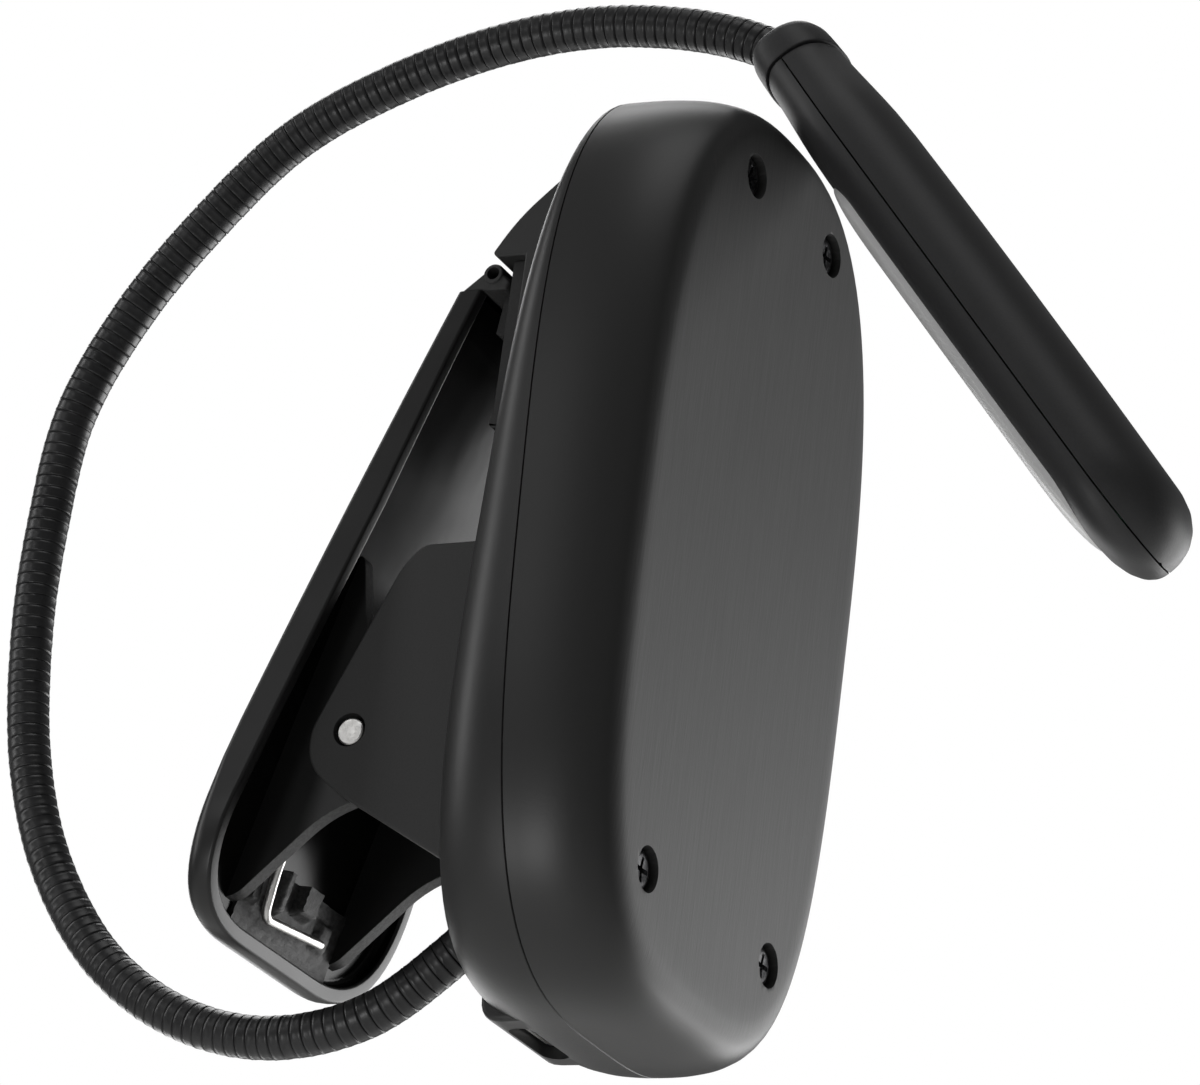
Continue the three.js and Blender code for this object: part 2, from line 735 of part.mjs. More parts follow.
function circuitBoard() {
  return block(...BOARD).add(block(...BOARD_ARM));
}

function leverGroup() {
  const group = new THREE.Group();
  group.add(pieceOf("lever", leverArm(), blackPlastic));
  group.add(pieceOf("lever_grip", leverGrip(), blackRubber));
  return group;
}

function neckGroup() {
  const group = new THREE.Group();
  for (let i = 0; i < NECK_LINKS; i++) {
    group.add(pieceOf("neck_link_" + i, neckLink(i), neckSkin));
  }
  return group;
}

function headGroup() {
  const group = new THREE.Group();
  group.add(pieceOf("head_collar", headCollar(), headPlastic));
  group.add(pieceOf("head_back_shell", headHalf(true), headPlastic));
  group.add(pieceOf("head_front_shell", headHalf(false), headPlastic));
  group.add(pieceOf("head_diffuser", headDiffuser(), milkyPlastic));
  group.add(pieceOf("led_board", ledBoard(), boardGreen));
  for (let i = 0; i < LED_COUNT; i++) {
    group.add(pieceOf("led_" + (i + 1), led(i), ledYellow));
  }
  const along = new THREE.Vector3(0, ...HEAD_DIRECTION).normalize();
  const across = new THREE.Vector3(1, 0, 0);
  const back = new THREE.Vector3().crossVectors(along, across);
  group.quaternion.setFromRotationMatrix(new THREE.Matrix4().makeBasis(across, back, along));
  group.position.set(0, ...HEAD_START);
  return group;
}

const lamp = new THREE.Group();
lamp.add(baseGroup(), leverGroup(), neckGroup(), headGroup());
lamp.add(pieceOf("power_button", buttonShape(0, ...BUTTON_X), blackRubber));
lamp.position.set(0, -PAD_FACE_Y, -(PAD_TOP_Z + PAD_BOTTOM_Z) / 2);

export default lamp;
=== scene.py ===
import math
import random

import bmesh
import bpy
import numpy as np
from mathutils import Matrix, Vector


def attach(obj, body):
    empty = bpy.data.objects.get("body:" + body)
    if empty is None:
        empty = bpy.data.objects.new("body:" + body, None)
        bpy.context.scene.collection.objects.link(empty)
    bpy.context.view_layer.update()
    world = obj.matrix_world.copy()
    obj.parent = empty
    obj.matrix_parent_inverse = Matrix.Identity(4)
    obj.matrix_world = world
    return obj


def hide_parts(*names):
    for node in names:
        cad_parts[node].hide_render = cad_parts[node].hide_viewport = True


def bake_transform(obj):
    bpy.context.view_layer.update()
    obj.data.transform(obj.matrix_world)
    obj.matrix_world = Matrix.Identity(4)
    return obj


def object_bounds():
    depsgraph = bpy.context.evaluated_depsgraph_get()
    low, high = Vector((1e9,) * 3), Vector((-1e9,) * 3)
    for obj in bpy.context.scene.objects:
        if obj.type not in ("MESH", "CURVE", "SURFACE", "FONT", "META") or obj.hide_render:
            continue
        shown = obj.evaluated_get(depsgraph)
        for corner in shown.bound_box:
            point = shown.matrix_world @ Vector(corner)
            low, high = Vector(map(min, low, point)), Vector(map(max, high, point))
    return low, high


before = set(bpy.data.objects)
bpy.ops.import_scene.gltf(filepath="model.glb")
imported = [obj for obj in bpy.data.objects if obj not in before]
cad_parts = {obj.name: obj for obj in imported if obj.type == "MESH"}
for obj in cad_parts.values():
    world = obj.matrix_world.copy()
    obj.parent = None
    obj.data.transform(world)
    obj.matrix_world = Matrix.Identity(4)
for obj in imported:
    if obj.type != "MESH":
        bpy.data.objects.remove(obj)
cad_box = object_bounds()
scene = bpy.context.scene

# ---------------------------------------------------------------------------------------------
# Viewpoint. The lamp is seen from its near side, a little from below and from the cover's side,
# through a long lens, so that it keeps its true proportions.

camera = bpy.data.objects.new("camera", bpy.data.cameras.new("camera"))
scene.collection.objects.link(camera)
camera_right = Vector((0.423, -0.898, 0.122)).normalized()
camera_back = camera_right.cross(Vector((-0.379, -0.053, 0.924))).normalized()
camera_up = camera_back.cross(camera_right)
camera.matrix_world = Matrix.Translation((-0.5219, -0.2849, -0.2479)) @ Matrix(
    (camera_right, camera_up, camera_back)
).transposed().to_4x4()
camera.data.lens = 180
camera.data.sensor_width = 36
camera.data.clip_start = 0.01
scene.camera = camera

# ---------------------------------------------------------------------------------------------
# Studio. A pale table far below, a white surround that the camera sees as paper, and soft boxes:
# beside the cover, above, behind for the bright rims, and small ones for the pin and the corner.

lamp_middle = (cad_box[0] + cad_box[1]) / 2
scene.view_settings.view_transform = "Standard"


def surround(seen, cast):
    """The world: how bright it looks to the eye, and how much of it falls on the lamp."""
    world = bpy.data.worlds.new("surround")
    world.use_nodes = True
    tree = world.node_tree
    sky = tree.nodes["Background"]
    eye = tree.nodes.new("ShaderNodeBackground")
    path = tree.nodes.new("ShaderNodeLightPath")
    choice = tree.nodes.new("ShaderNodeMixShader")
    sky.inputs["Color"].default_value = (1, 1, 1, 1)
    sky.inputs["Strength"].default_value = cast
    eye.inputs["Color"].default_value = (1, 1, 1, 1)
    eye.inputs["Strength"].default_value = seen
    tree.links.new(path.outputs["Is Camera Ray"], choice.inputs[0])
    tree.links.new(sky.outputs[0], choice.inputs[1])
    tree.links.new(eye.outputs[0], choice.inputs[2])
    tree.links.new(choice.outputs[0], tree.nodes["World Output"].inputs["Surface"])
    return world


def soft_box(name, towards, distance, width, height, watts):
    """A rectangular light at a distance from the lamp in a given direction, facing it."""
    data = bpy.data.lights.new(name, "AREA")
    data.shape = "RECTANGLE"
    data.size = width
    data.size_y = height
    data.energy = watts
    light = bpy.data.objects.new(name, data)
    scene.collection.objects.link(light)
    direction = Vector(towards).normalized()
    light.location = lamp_middle + direction * distance
    light.rotation_euler = direction.to_track_quat("Z", "Y").to_euler()
    return light


scene.world = surround(seen=1.0, cast=0.09)
soft_box("cover_light", (0.92, -0.38, -0.1), 0.8, 0.6, 0.6, 4.7)
soft_box("rim_light", (0.62, 0.66, 0.0), 0.8, 0.3, 1.1, 2.8)
soft_box("back_top_light", (0.5, 0.4, 0.75), 0.8, 0.4, 0.4, 1.6)
soft_box("edge_light", (-0.35, 0.9, 0.35), 0.7, 0.12, 0.6, 0.9)
soft_box("top_light", (-0.3, -0.1, 1.0), 0.8, 0.5, 0.5, 0.95)
soft_box("pin_light", (-0.83, 0.44, 0.34), 0.9, 0.2, 0.2, 0.24)
soft_box("corner_light", (-0.85, 0.25, -0.445), 0.5, 0.08, 0.08, 0.3)

table = bpy.data.objects.new("table", bpy.data.meshes.new("table"))
table_half = 3.0
table_z = -0.35
signs = ((-1, -1), (1, -1), (1, 1), (-1, 1))
corners = [(x * table_half, y * table_half, table_z) for x, y in signs]
table.data.from_pydata(corners, [], [(0, 1, 2, 3)])
scene.collection.objects.link(table)
table_paper = bpy.data.materials.new("table_paper")
table_paper.use_nodes = True
paper_shader = table_paper.node_tree.nodes["Principled BSDF"]
paper_shader.inputs["Base Color"].default_value = (0.86, 0.86, 0.85, 1)
paper_shader.inputs["Roughness"].default_value = 0.8
table.data.materials.append(table_paper)

# ---------------------------------------------------------------------------------------------
# Screw cover. One moulding of dark grey ABS: a flat face with a fine lengthwise grain, and a
# smooth satin side that swells out to the parting seam. Four stepped holes take the screws.

MM = 0.001
pad_y = 26
pad_z = 20.9


def spot(x, y, z):
    """A point of the lamp, in millimetres from the cover's face and the middle of its screws."""
    return (x * MM, (y - pad_y) * MM, (z - pad_z) * MM)


def make(name, points, faces, place=spot):
    """A new mesh piece, its faces turned outwards."""
    mesh = bpy.data.meshes.new(name)
    mesh.from_pydata([place(*p) for p in points], [], faces)
    piece = bpy.data.objects.new(name, mesh)
    scene.collection.objects.link(piece)
    work = bmesh.new()
    work.from_mesh(mesh)
    bmesh.ops.recalc_face_normals(work, faces=work.faces)
    work.to_mesh(mesh)
    work.free()
    return piece


def skin(name, rings, place=spot, loop=False):
    """A closed skin over rings of points; a loop joins the last ring to the first."""
    count = len(rings[0])
    points = [p for ring in rings for p in ring]
    faces = []
    for i in range(len(rings) if loop else len(rings) - 1):
        low = i * count
        high = (i + 1) % len(rings) * count
        for j in range(count):
            k = (j + 1) % count
            faces.append((low + j, low + k, high + k, high + j))
    if not loop:
        faces.append(tuple(range(count)))
        faces.append(tuple(range(len(points) - count, len(points))))
    return make(name, points, faces, place)


def turned(name, origin, axis, profile, sides=48, place=spot):
    """A turned piece: a profile of (distance along the axis, radius), spun round the axis."""
    along = Vector(axis).normalized()
    first = along.orthogonal().normalized()
    second = along.cross(first)
    rings = []
    for distance, radius in profile:
        centre = Vector(origin) + along * distance
        ring = []
        for j in range(sides):
            angle = 2 * math.pi * j / sides
            ring.append(centre + (first * math.cos(angle) + second * math.sin(angle)) * radius)
        rings.append(ring)
    return skin(name, rings, place)


def settle(piece):
    """The piece's modifiers, worked into its mesh."""
    bpy.context.view_layer.update()
    seen = piece.evaluated_get(bpy.context.evaluated_depsgraph_get())
    mesh = bpy.data.meshes.new_from_object(seen)
    piece.modifiers.clear()
    piece.data = mesh
    return piece


def carve(piece, tools, operation="DIFFERENCE"):
    """Cuts the tools out of the piece, or welds them to it, and clears them away."""
    for tool in tools:
        step = piece.modifiers.new("carve", "BOOLEAN")
        step.operation = operation
        step.solver = "MANIFOLD"
        step.object = tool
    settle(piece)
    for tool in tools:
        bpy.data.objects.remove(tool)
    return piece


def soften(piece, width, steps=3, angle=35):
    """Small rounds on the piece's edges, as a mould leaves them."""
    step = piece.modifiers.new("soften", "BEVEL")
    step.width = width * MM
    step.segments = steps
    step.limit_method = "ANGLE"
    step.angle_limit = math.radians(angle)
    step.harden_normals = False
    return settle(piece)


def smooth(piece, angle=32):
    """Smooth shading that keeps the flats flat, and crisp where faces meet at more than the angle."""
    work = bmesh.new()
    work.from_mesh(piece.data)
    limit = math.radians(angle)
    for face in work.faces:
        face.smooth = True
    for edge in work.edges:
        edge.smooth = len(edge.link_faces) == 2 and edge.calc_face_angle(0) < limit
    work.to_mesh(piece.data)
    work.free()
    flats = piece.modifiers.new("flats", "WEIGHTED_NORMAL")
    flats.mode = "FACE_AREA"
    flats.weight = 90
    flats.keep_sharp = True
    return settle(piece)


class Signal:
    """A value in a material's network. Python's operators join signals into Math nodes."""

    def __init__(self, finish, socket):
        self.finish = finish
        self.socket = socket

    def math(self, operation, *values):
        inputs = dict(enumerate((self, *values)))
        return self.finish.add("Math", inputs, operation=operation)

    def __add__(self, other):
        return self.math("ADD", other)

    def __rsub__(self, other):
        return self.finish.add("Math", {0: other, 1: self}, operation="SUBTRACT")

    def __mul__(self, other):
        return self.math("MULTIPLY", other)

    __radd__ = __add__
    __rmul__ = __mul__

    def clipped(self):
        return self.finish.add("Clamp", {"Value": self})

    def between(self, low, high):
        """0 below low, 1 above high and a soft step between them."""
        inputs = {"Value": self, "From Min": low, "From Max": high}
        return self.finish.add("MapRange", inputs, interpolation_type="SMOOTHSTEP")

    def stretched(self, *scale):
        """A vector signal, scaled along each axis."""
        return self.finish.add("VectorMath", {0: self, 1: scale}, operation="MULTIPLY")


class Finish:
    """A material and its network, with the shader's own values given as plain numbers."""

    def __init__(self, name, colour, roughness, metallic=0.0, **plain):
        self.material = bpy.data.materials.new(name)
        self.material.use_nodes = True
        self.tree = self.material.node_tree
        self.shader = self.tree.nodes["Principled BSDF"]
        self.colour = (*colour, 1)
        self.set("Base Color", self.colour)
        self.set("Roughness", roughness)
        self.set("Metallic", metallic)
        for key, value in plain.items():
            self.set(key.replace("_", " "), value)

    def set(self, socket, value):
        self.join(self.shader.inputs[socket], value)

    def join(self, socket, value):
        if isinstance(value, Signal):
            self.tree.links.new(value.socket, socket)
        else:
            socket.default_value = value

    def add(self, kind, inputs, out=0, **settings):
        """Any node: its type, its settings, and the values or links of its sockets."""
        node = self.tree.nodes.new("ShaderNode" + kind)
        for key, value in settings.items():
            setattr(node, key, value)
        for key, value in inputs.items():
            self.join(node.inputs[key], value)
        return Signal(self, node.outputs[out])

    def place(self):
        return self.add("TexCoord", {}, out="Object")

    def axis(self, name):
        return self.add("SeparateXYZ", {0: self.place()}, out=name)

    def noise(self, scale, detail=3, stretch=(1, 1, 1), rough=0.5):
        """Grain of so many waves a metre, from 0 to 1."""
        vector = self.place().stretched(*stretch)
        inputs = {"Vector": vector, "Scale": scale, "Detail": detail, "Roughness": rough}
        return self.add("TexNoise", inputs)

    def mixed(self, share, first, second):
        """A colour between two, by a share."""
        inputs = {0: share, 6: first, 7: second}
        return self.add("Mix", inputs, out=2, data_type="RGBA")

    def tone(self, share, dark, light):
        """The base colour between two shades of itself."""
        low = tuple(c * dark for c in self.colour[:3]) + (1,)
        high = tuple(c * light for c in self.colour[:3]) + (1,)
        self.set("Base Color", self.mixed(share, low, high))

    def relief(self, height, depth, strength=1.0):
        """Bumps of the given depth in millimetres."""
        inputs = {"Height": height, "Distance": depth * MM, "Strength": strength}
        self.set("Normal", self.add("Bump", inputs))


def wear(piece, *finishes):
    """Gives the piece its materials, the first of them all over."""
    piece.data.materials.clear()
    for finish in finishes:
        piece.data.materials.append(finish.material)
    return piece


face_half = 23.5
face_top = 45.1
face_bottom = 46.9
seam_y = 10.8
base_depth = 21.6
swell = (5.6, 5.2, 6.4)
tuck = (7.0, 10.4, 6.0)
clamp_lean = 0.0048
seam_rise = 0.04
cover_wall = 1.8
outline_points = 144
top_power = 2.65
bottom_power = 3.35
front_curve = 0.73
back_curve = 0.9
seam_round = 0.12
outline_turn = np.linspace(0, 2 * np.pi, 2881)


def housing_ring(y, out, back, inset):
    """One ring of the housing: out from the face to the seam, then back towards the clamp."""
    half, top, bottom = (
        size + out * grow - back * draw - inset
        for size, grow, draw in zip((face_half, face_top, face_bottom), swell, tuck)
    )
    c = np.cos(outline_turn)
    s = np.sin(outline_turn)
    bend = np.where(s > 0, 2 / top_power, 2 / bottom_power)
    x = half * np.sign(c) * np.abs(c) ** bend
    z = np.where(s > 0, top, bottom) * np.sign(s) * np.abs(s) ** bend
    length = np.concatenate(([0], np.cumsum(np.hypot(np.diff(x), np.diff(z)))))
    even = np.linspace(0, length[-1], outline_points, endpoint=False)
    return [(a, y, b) for a, b in zip(np.interp(even, length, x), np.interp(even, length, z))]


def leaned(ring):
    """The ring with its seam raised towards the jaw, where the clamp half is the thinner one."""
    made = []
    for x, y, z in ring:
        height = z + face_bottom
        seam = seam_y + seam_rise * height
        clamp = base_depth - (base_depth - seam_y) * clamp_lean * height - seam
        behind = (y - seam_y) / (base_depth - seam_y)
        made.append((x, seam + behind * clamp if behind > 0 else y * seam / seam_y, z))
    return made


def front_skin(inset, steps):
    """The cover's rings, from its face to the seam."""
    rings = []
    for i in range(steps + 1):
        angle = math.pi / 2 * i / steps
        y = inset + (seam_y - seam_round - inset) * (1 - math.cos(angle) ** front_curve)
        rings.append(leaned(housing_ring(y, math.sin(angle) ** front_curve, 0, inset)))
    return rings


def back_skin(inset, steps):
    """The clamp shell's rings, from the seam to the clamp's face."""
    rings = []
    for i in range(steps + 1):
        angle = math.pi / 2 * i / steps
        depth = base_depth - inset - seam_y - seam_round
        y = seam_y + seam_round + depth * math.sin(angle) ** back_curve
        back = 1 - max(math.cos(angle), 0) ** back_curve
        rings.append(leaned(housing_ring(y, 1, back, inset)))
    return rings


def cover_body():
    """The cover: its face, its side out to the seam's lip, and the inner skin."""
    face = [housing_ring(0, 0, 0, inset) for inset in (14, 3, 1.2, 0.5)]
    outside = face + front_skin(0, 22)
    lip = [leaned(housing_ring(seam_y - 0.03, 1, 0, inset)) for inset in (0.1, cover_wall)]
    inside = front_skin(cover_wall, 8)[::-1]
    return skin("screw_cover", outside + lip + inside)


screw_places = [(-10, 39.5), (10, 39.5), (-15, -39.5), (15, -39.5)]
recess_radius = 2.4
cover = cover_body()
recesses = [
    turned("recess", (x, -1, z), (0, 1, 0), [(0, recess_radius), (4, recess_radius)])
    for x, z in screw_places
]
carve(cover, recesses)
soften(cover, 0.12, 2, 60)
smooth(cover, 40)

cover_plastic = Finish("cover_plastic", (0.064, 0.064, 0.064), 0.5, Specular_IOR_Level=0.5)
on_face = 1 - cover_plastic.axis("Y").between(-0.0258, -0.0250)
long_grain = cover_plastic.noise(900, 4, (4.0, 1.0, 0.16), 0.62)
fine_grain = cover_plastic.noise(5200, 2, (1.0, 1.0, 0.25), 0.5)
skin_grain = cover_plastic.noise(2600, 3)
cloud = cover_plastic.noise(38, 2)
grain = (long_grain * 0.7 + fine_grain * 0.3) * on_face + skin_grain * 0.2 * (1 - on_face)
cover_plastic.tone((long_grain * 0.6 + cloud * 0.4) * on_face + (1 - on_face) * 0.12, 0.42, 1.45)
cover_plastic.set("Roughness", 0.36 + on_face * 0.12 + cloud * 0.08)
cover_plastic.relief(grain, 0.05, 0.5)
wear(cover, cover_plastic)
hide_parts("base_cover")
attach(cover, "base")

# ---------------------------------------------------------------------------------------------
# Cover screws. Four black M2 self-tapping screws with dished heads and a cross recess, sunk
# a little below the cover's face.

screw_sunk = 0.7
head_radius = 2.1


def cross_driver(x, z):
    """The tapered cross that the driver leaves in a screw's head."""
    blades = []
    for wide, high in ((1.25, 0.26), (0.26, 1.25)):
        rings = []
        for depth, share in ((-1.0, 1.25), (screw_sunk, 1.05), (screw_sunk + 0.95, 0.45)):
            signs = ((-1, -1), (1, -1), (1, 1), (-1, 1))
            rings.append([(x + a * wide * share, depth, z + b * high * share) for a, b in signs])
        blades.append(skin("blade", rings))
    return blades


screw_profile = [
    (0.10, 0.4),
    (0.02, 1.2),
    (0.0, 1.5),
    (0.05, 1.85),
    (0.2, 2.04),
    (0.4, head_radius),
    (1.2, head_radius),
    (1.3, 2.0),
    (1.32, 1.0),
    (12.3, 1.0),
    (12.8, 0.3),
]
screw_steel = Finish("screw_steel", (0.035, 0.035, 0.037), 0.34, 0.85)
scuffs = screw_steel.noise(3200, 4)
screw_steel.tone(scuffs.between(0.42, 0.72), 0.6, 3.2)
screw_steel.set("Roughness", 0.24 + scuffs * 0.25)
screw_steel.relief(scuffs, 0.04, 0.5)
for number, (x, z) in enumerate(screw_places, 1):
    screw = turned(f"screw_{number}", (x, screw_sunk, z), (0, 1, 0), screw_profile)
    carve(screw, cross_driver(x, z))
    smooth(screw, 38)
    wear(screw, screw_steel)
    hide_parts(f"cover_screw_{number}")
    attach(screw, "base")

# ---------------------------------------------------------------------------------------------
# Clamp shell. The other half of the housing in black satin ABS, moulded in one with the two
# ears for the pin, the hooked nose of the fixed jaw and the boss round the charging slot.


def rounded(corners, steps=6):
    """An outline of (u, v, radius) corners, each rounded by its radius."""
    points = []
    for i, (u, v, *radius) in enumerate(corners):
        corner = Vector((u, v))
        if not radius:
            points.append(tuple(corner))
            continue
        sides = (Vector(corners[i - 1][:2]), Vector(corners[(i + 1) % len(corners)][:2]))
        start, end = (corner + (side - corner).normalized() * radius[0] for side in sides)
        for j in range(steps + 1):
            t = j / steps
            points.append(tuple(start * (1 - t) ** 2 + corner * (2 * t * (1 - t)) + end * t * t))
    return points


def slab(name, corners, low, high):
    """A plate across the lamp: a side outline of (y, z, radius) from x = low to x = high."""
    outline = rounded(corners)
    return skin(name, [[(x, y, z) for y, z in outline] for x in (low, high)])


def block(name, low, high):
    """A rectangular block between two corners."""
    rings = []
    for x in (low[0], high[0]):
        ring = [(low[1], low[2]), (high[1], low[2]), (high[1], high[2]), (low[1], high[2])]
        rings.append([(x, y, z) for y, z in ring])
    return skin(name, rings)


ear_inner = 12.5
ear_thick = 2.0
pin_y = 36.7
pin_z = -23.0
pin_radius = 1.5
ear_outline = [
    (base_depth - 3.2, -40.6),
    (37.4, -29.7, 2.4),
    (40.9, -26.8, 1.8),
    (41.6, -23.2, 1.8),
    (33.3, -4.6, 1.6),
    (31.2, -2.4, 1.2),
    (base_depth - 3.2, -2.2),
]
nose_half = 14.0
nose_outline = [
    (15.5, 10.8),
    (24.2, 10.8, 0.4),
    (24.2, 30.6),
    (27.4, 30.6),
    (28.2, 31.0, 0.5),
    (25.6, 35.1, 3.0),
    (19.8, 40.4, 1.4),
    (15.5, 40.8),
]
boss_outline = [(13.8, -44), (13.8, -52.6, 2.0), (21.0, -52.6, 2.6), (21.0, -44)]
slot_y = 17.6


def slot_ring(z, grow):
    """The long round outline of the charging slot, at a height."""
    ring = []
    for j in range(32):
        angle = 2 * math.pi * (j + 0.5) / 32
        x = math.copysign(3.45, math.cos(angle)) + (1.6 + grow) * math.cos(angle)
        ring.append((x, slot_y + (1.6 + grow) * math.sin(angle), z))
    return ring


button_y = 15.6
button_z = 4.0


def button_ring(x, grow):
    """The long round outline of the power button, at a distance across the lamp."""
    ring = []
    for j in range(48):
        angle = 2 * math.pi * (j + 0.5) / 48
        z = button_z + math.copysign(4.5, math.sin(angle)) + (2.2 + grow) * math.sin(angle)
        ring.append((x, button_y + (2.2 + grow) * math.cos(angle), z))
    return ring


def nose_form():
    """The hooked nose, trimmed to follow the housing's outline at its top end."""
    nose = slab("nose", nose_outline, -nose_half, nose_half)
    soften(nose, 0.5, 3, 50)
    limit = [housing_ring(y, 0, 0, inset) for y, inset in ((8, -3.0), (40, -1.0))]
    return carve(nose, [skin("limit", limit)], "INTERSECT")


def clamp_body():
    """The clamp half of the housing: its outer skin, the seam's lip and the inner skin."""
    lip = [leaned(housing_ring(seam_y + 0.03, 1, 0, inset)) for inset in (cover_wall, 0.1)]
    face = [leaned(housing_ring(base_depth, 1, 1, inset)) for inset in (0.6, 1.4, 4, 12)]
    inside = back_skin(cover_wall, 8)
    return skin("clamp_shell_body", inside[::-1] + lip + back_skin(0, 20) + face)


clamp = clamp_body()
ears = []
for side in (-1, 1):
    inner = side * ear_inner
    outer = side * (ear_inner + ear_thick)
    ears.append(soften(slab("ear", ear_outline, min(inner, outer), max(inner, outer)), 0.35, 3, 50))
boss = soften(slab("boss", boss_outline, -7.6, 7.6), 0.6, 3, 50)
pin_hole = [(0, pin_radius + 0.35), (40, pin_radius + 0.35)]
root_hole = [(0, 4.3), (9, 4.3)]
carve(clamp, [*ears, boss, nose_form()], "UNION")
carve(
    clamp,
    [
        turned("hole", (-20, pin_y + 0.05, pin_z + 0.12), (1, 0, 0), pin_hole),
        turned("hole", (0, 19.6, -33.4), (0, 1, -1), root_hole),
        skin("hole", [slot_ring(z, 0.05) for z in (-56, -43)]),
        skin("hole", [button_ring(x, 0.3) for x in (21, 31)]),
    ],
)
smooth(clamp, 34)

shell_plastic = Finish("shell_plastic", (0.030, 0.030, 0.030), 0.38)
peel = shell_plastic.noise(1500, 3)
pores = shell_plastic.noise(5200, 2)
patch = shell_plastic.noise(45, 2)
shell_plastic.tone(patch, 0.75, 1.25)
shell_plastic.set("Roughness", 0.30 + patch * 0.14 + pores * 0.08)
shell_plastic.relief(peel * 0.7 + pores * 0.3, 0.025, 0.5)

ear_plastic = Finish("ear_plastic", (0.036, 0.036, 0.036), 0.55)
spark = ear_plastic.noise(4200, 3)
ear_plastic.tone(spark, 0.8, 1.3)
ear_plastic.set("Roughness", 0.52 + spark * 0.12)
ear_plastic.relief(spark, 0.03, 0.45)


def paint_faces(piece, index, chosen):
    """The faces that the rule chooses take the piece's material of that index."""
    for face in piece.data.polygons:
        centre = face.center / MM
        if chosen(centre.x, centre.y + pad_y, centre.z + pad_z, face.normal):
            face.material_index = index


wear(clamp, shell_plastic, ear_plastic)
paint_faces(clamp, 1, lambda x, y, z, normal: y > base_depth + 0.15)
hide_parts("clamp_shell")
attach(clamp, "base")

# ---------------------------------------------------------------------------------------------
# Fixed jaw pad. A strip of black rubber set against the nose, with a rolled lip at its lower end.

pad_outline = [
    (24.35, 11.2, 0.2),
    (26.2, 11.2, 0.5),
    (26.35, 11.8, 0.3),
    (26.2, 12.5, 0.3),
    (26.0, 12.9, 0.2),
    (26.0, 30.4, 0.3),
    (24.35, 30.4, 0.2),
]
pad = smooth(soften(slab("clip_pad", pad_outline, -12.8, 12.8), 0.25, 3, 50))
rubber = Finish("rubber", (0.028, 0.028, 0.028), 0.72)
bloom = rubber.noise(2600, 4)
rubber.tone(bloom, 0.7, 1.5)
rubber.set("Roughness", 0.62 + bloom * 0.2)
rubber.relief(bloom, 0.05, 0.6)
wear(pad, rubber)
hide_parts("jaw_pad")
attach(pad, "base")

# ---------------------------------------------------------------------------------------------
# Pivot pin. A 3 mm steel pin, cut square and lightly chamfered, pressed through both ears.

pin_reach = ear_inner + ear_thick - 0.1
pin_profile = [(0, 0.3), (0, 1.32), (0.12, 1.46), (0.3, pin_radius)]
pin_profile += [(2 * pin_reach - d, r) for d, r in reversed(pin_profile)]
pin = smooth(turned("steel_pin", (-pin_reach, pin_y, pin_z), (1, 0, 0), pin_profile, 64))
bright_steel = Finish("bright_steel", (0.86, 0.85, 0.83), 0.28, 1.0)
turning = bright_steel.noise(1400, 4)
bright_steel.tone(turning, 0.8, 1.15)
bright_steel.set("Roughness", 0.22 + turning * 0.22)
bright_steel.relief(turning, 0.05, 0.6)
wear(pin, bright_steel)
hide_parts("pivot_pin")
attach(pin, "base")

# ---------------------------------------------------------------------------------------------
# Lever. A long tray of glossy black ABS that widens to the press end, with a satin outside, two
# ribs that turn on the pin and a rough cast ledge where the spring's foot bears.

lever_tilt = 0.3023
lever_tip_y = 29.6
lever_tip_z = 31.0
lever_cut_z = 27.6
lever_end_z = -44.2
tip_half = 12.0
end_half = 21.8
far_corner = 15.0
near_corner = 13.0


def back_y(z):
    """The lever's back: it leans out towards the press end and is bowed a little."""
    share = (z - lever_end_z) / (lever_tip_z - lever_end_z)
    return lever_tip_y + (lever_tip_z - z) * lever_tilt + 0.7 + 2.4 * share * (1.5 - share)


def lever_side(inset, corner_radius):
    """Half of the tray's outline as points (x, z), from the tip round to the press end."""
    foot = lever_end_z + inset
    radius = corner_radius - inset
    cut_share = (lever_tip_z - lever_cut_z) / (lever_tip_z - lever_end_z)
    tip = tip_half + (end_half - tip_half) * cut_share - inset
    corner = Vector((end_half - inset, foot))
    start = corner + (Vector((tip, lever_cut_z)) - corner).normalized() * radius
    end = corner + Vector((-radius, 0))
    points = [Vector((tip, lever_cut_z)).lerp(start, i / 14) for i in range(14)]
    for i in range(19):
        t = i / 18
        points.append(start * (1 - t) ** 2 + corner * (2 * t * (1 - t)) + end * t * t)
    return points


def lever_outline(inset):
    """The tray's outline as (x, z), from the far tip corner round the press end to the near one."""
    far = lever_side(inset, far_corner)
    near = lever_side(inset, near_corner)
    return [(p.x, p.y) for p in far] + [(-p.x, p.y) for p in reversed(near)]


def rim_depth(z):
    """How far the tray's rim stands in front of its back: shallow at the tip."""
    return 2.8 + 1.0 * min(max((26 - z) / 24, 0), 1)


def back_round(z):
    """The radius of the tray's back edge, which grows into a scoop round the press end."""
    share = min(max((-24 - z) / 16, 0), 1)
    return 0.6 + 2.0 * share * share * (3 - 2 * share)


rim_wall = 1.7
plate = 2.0


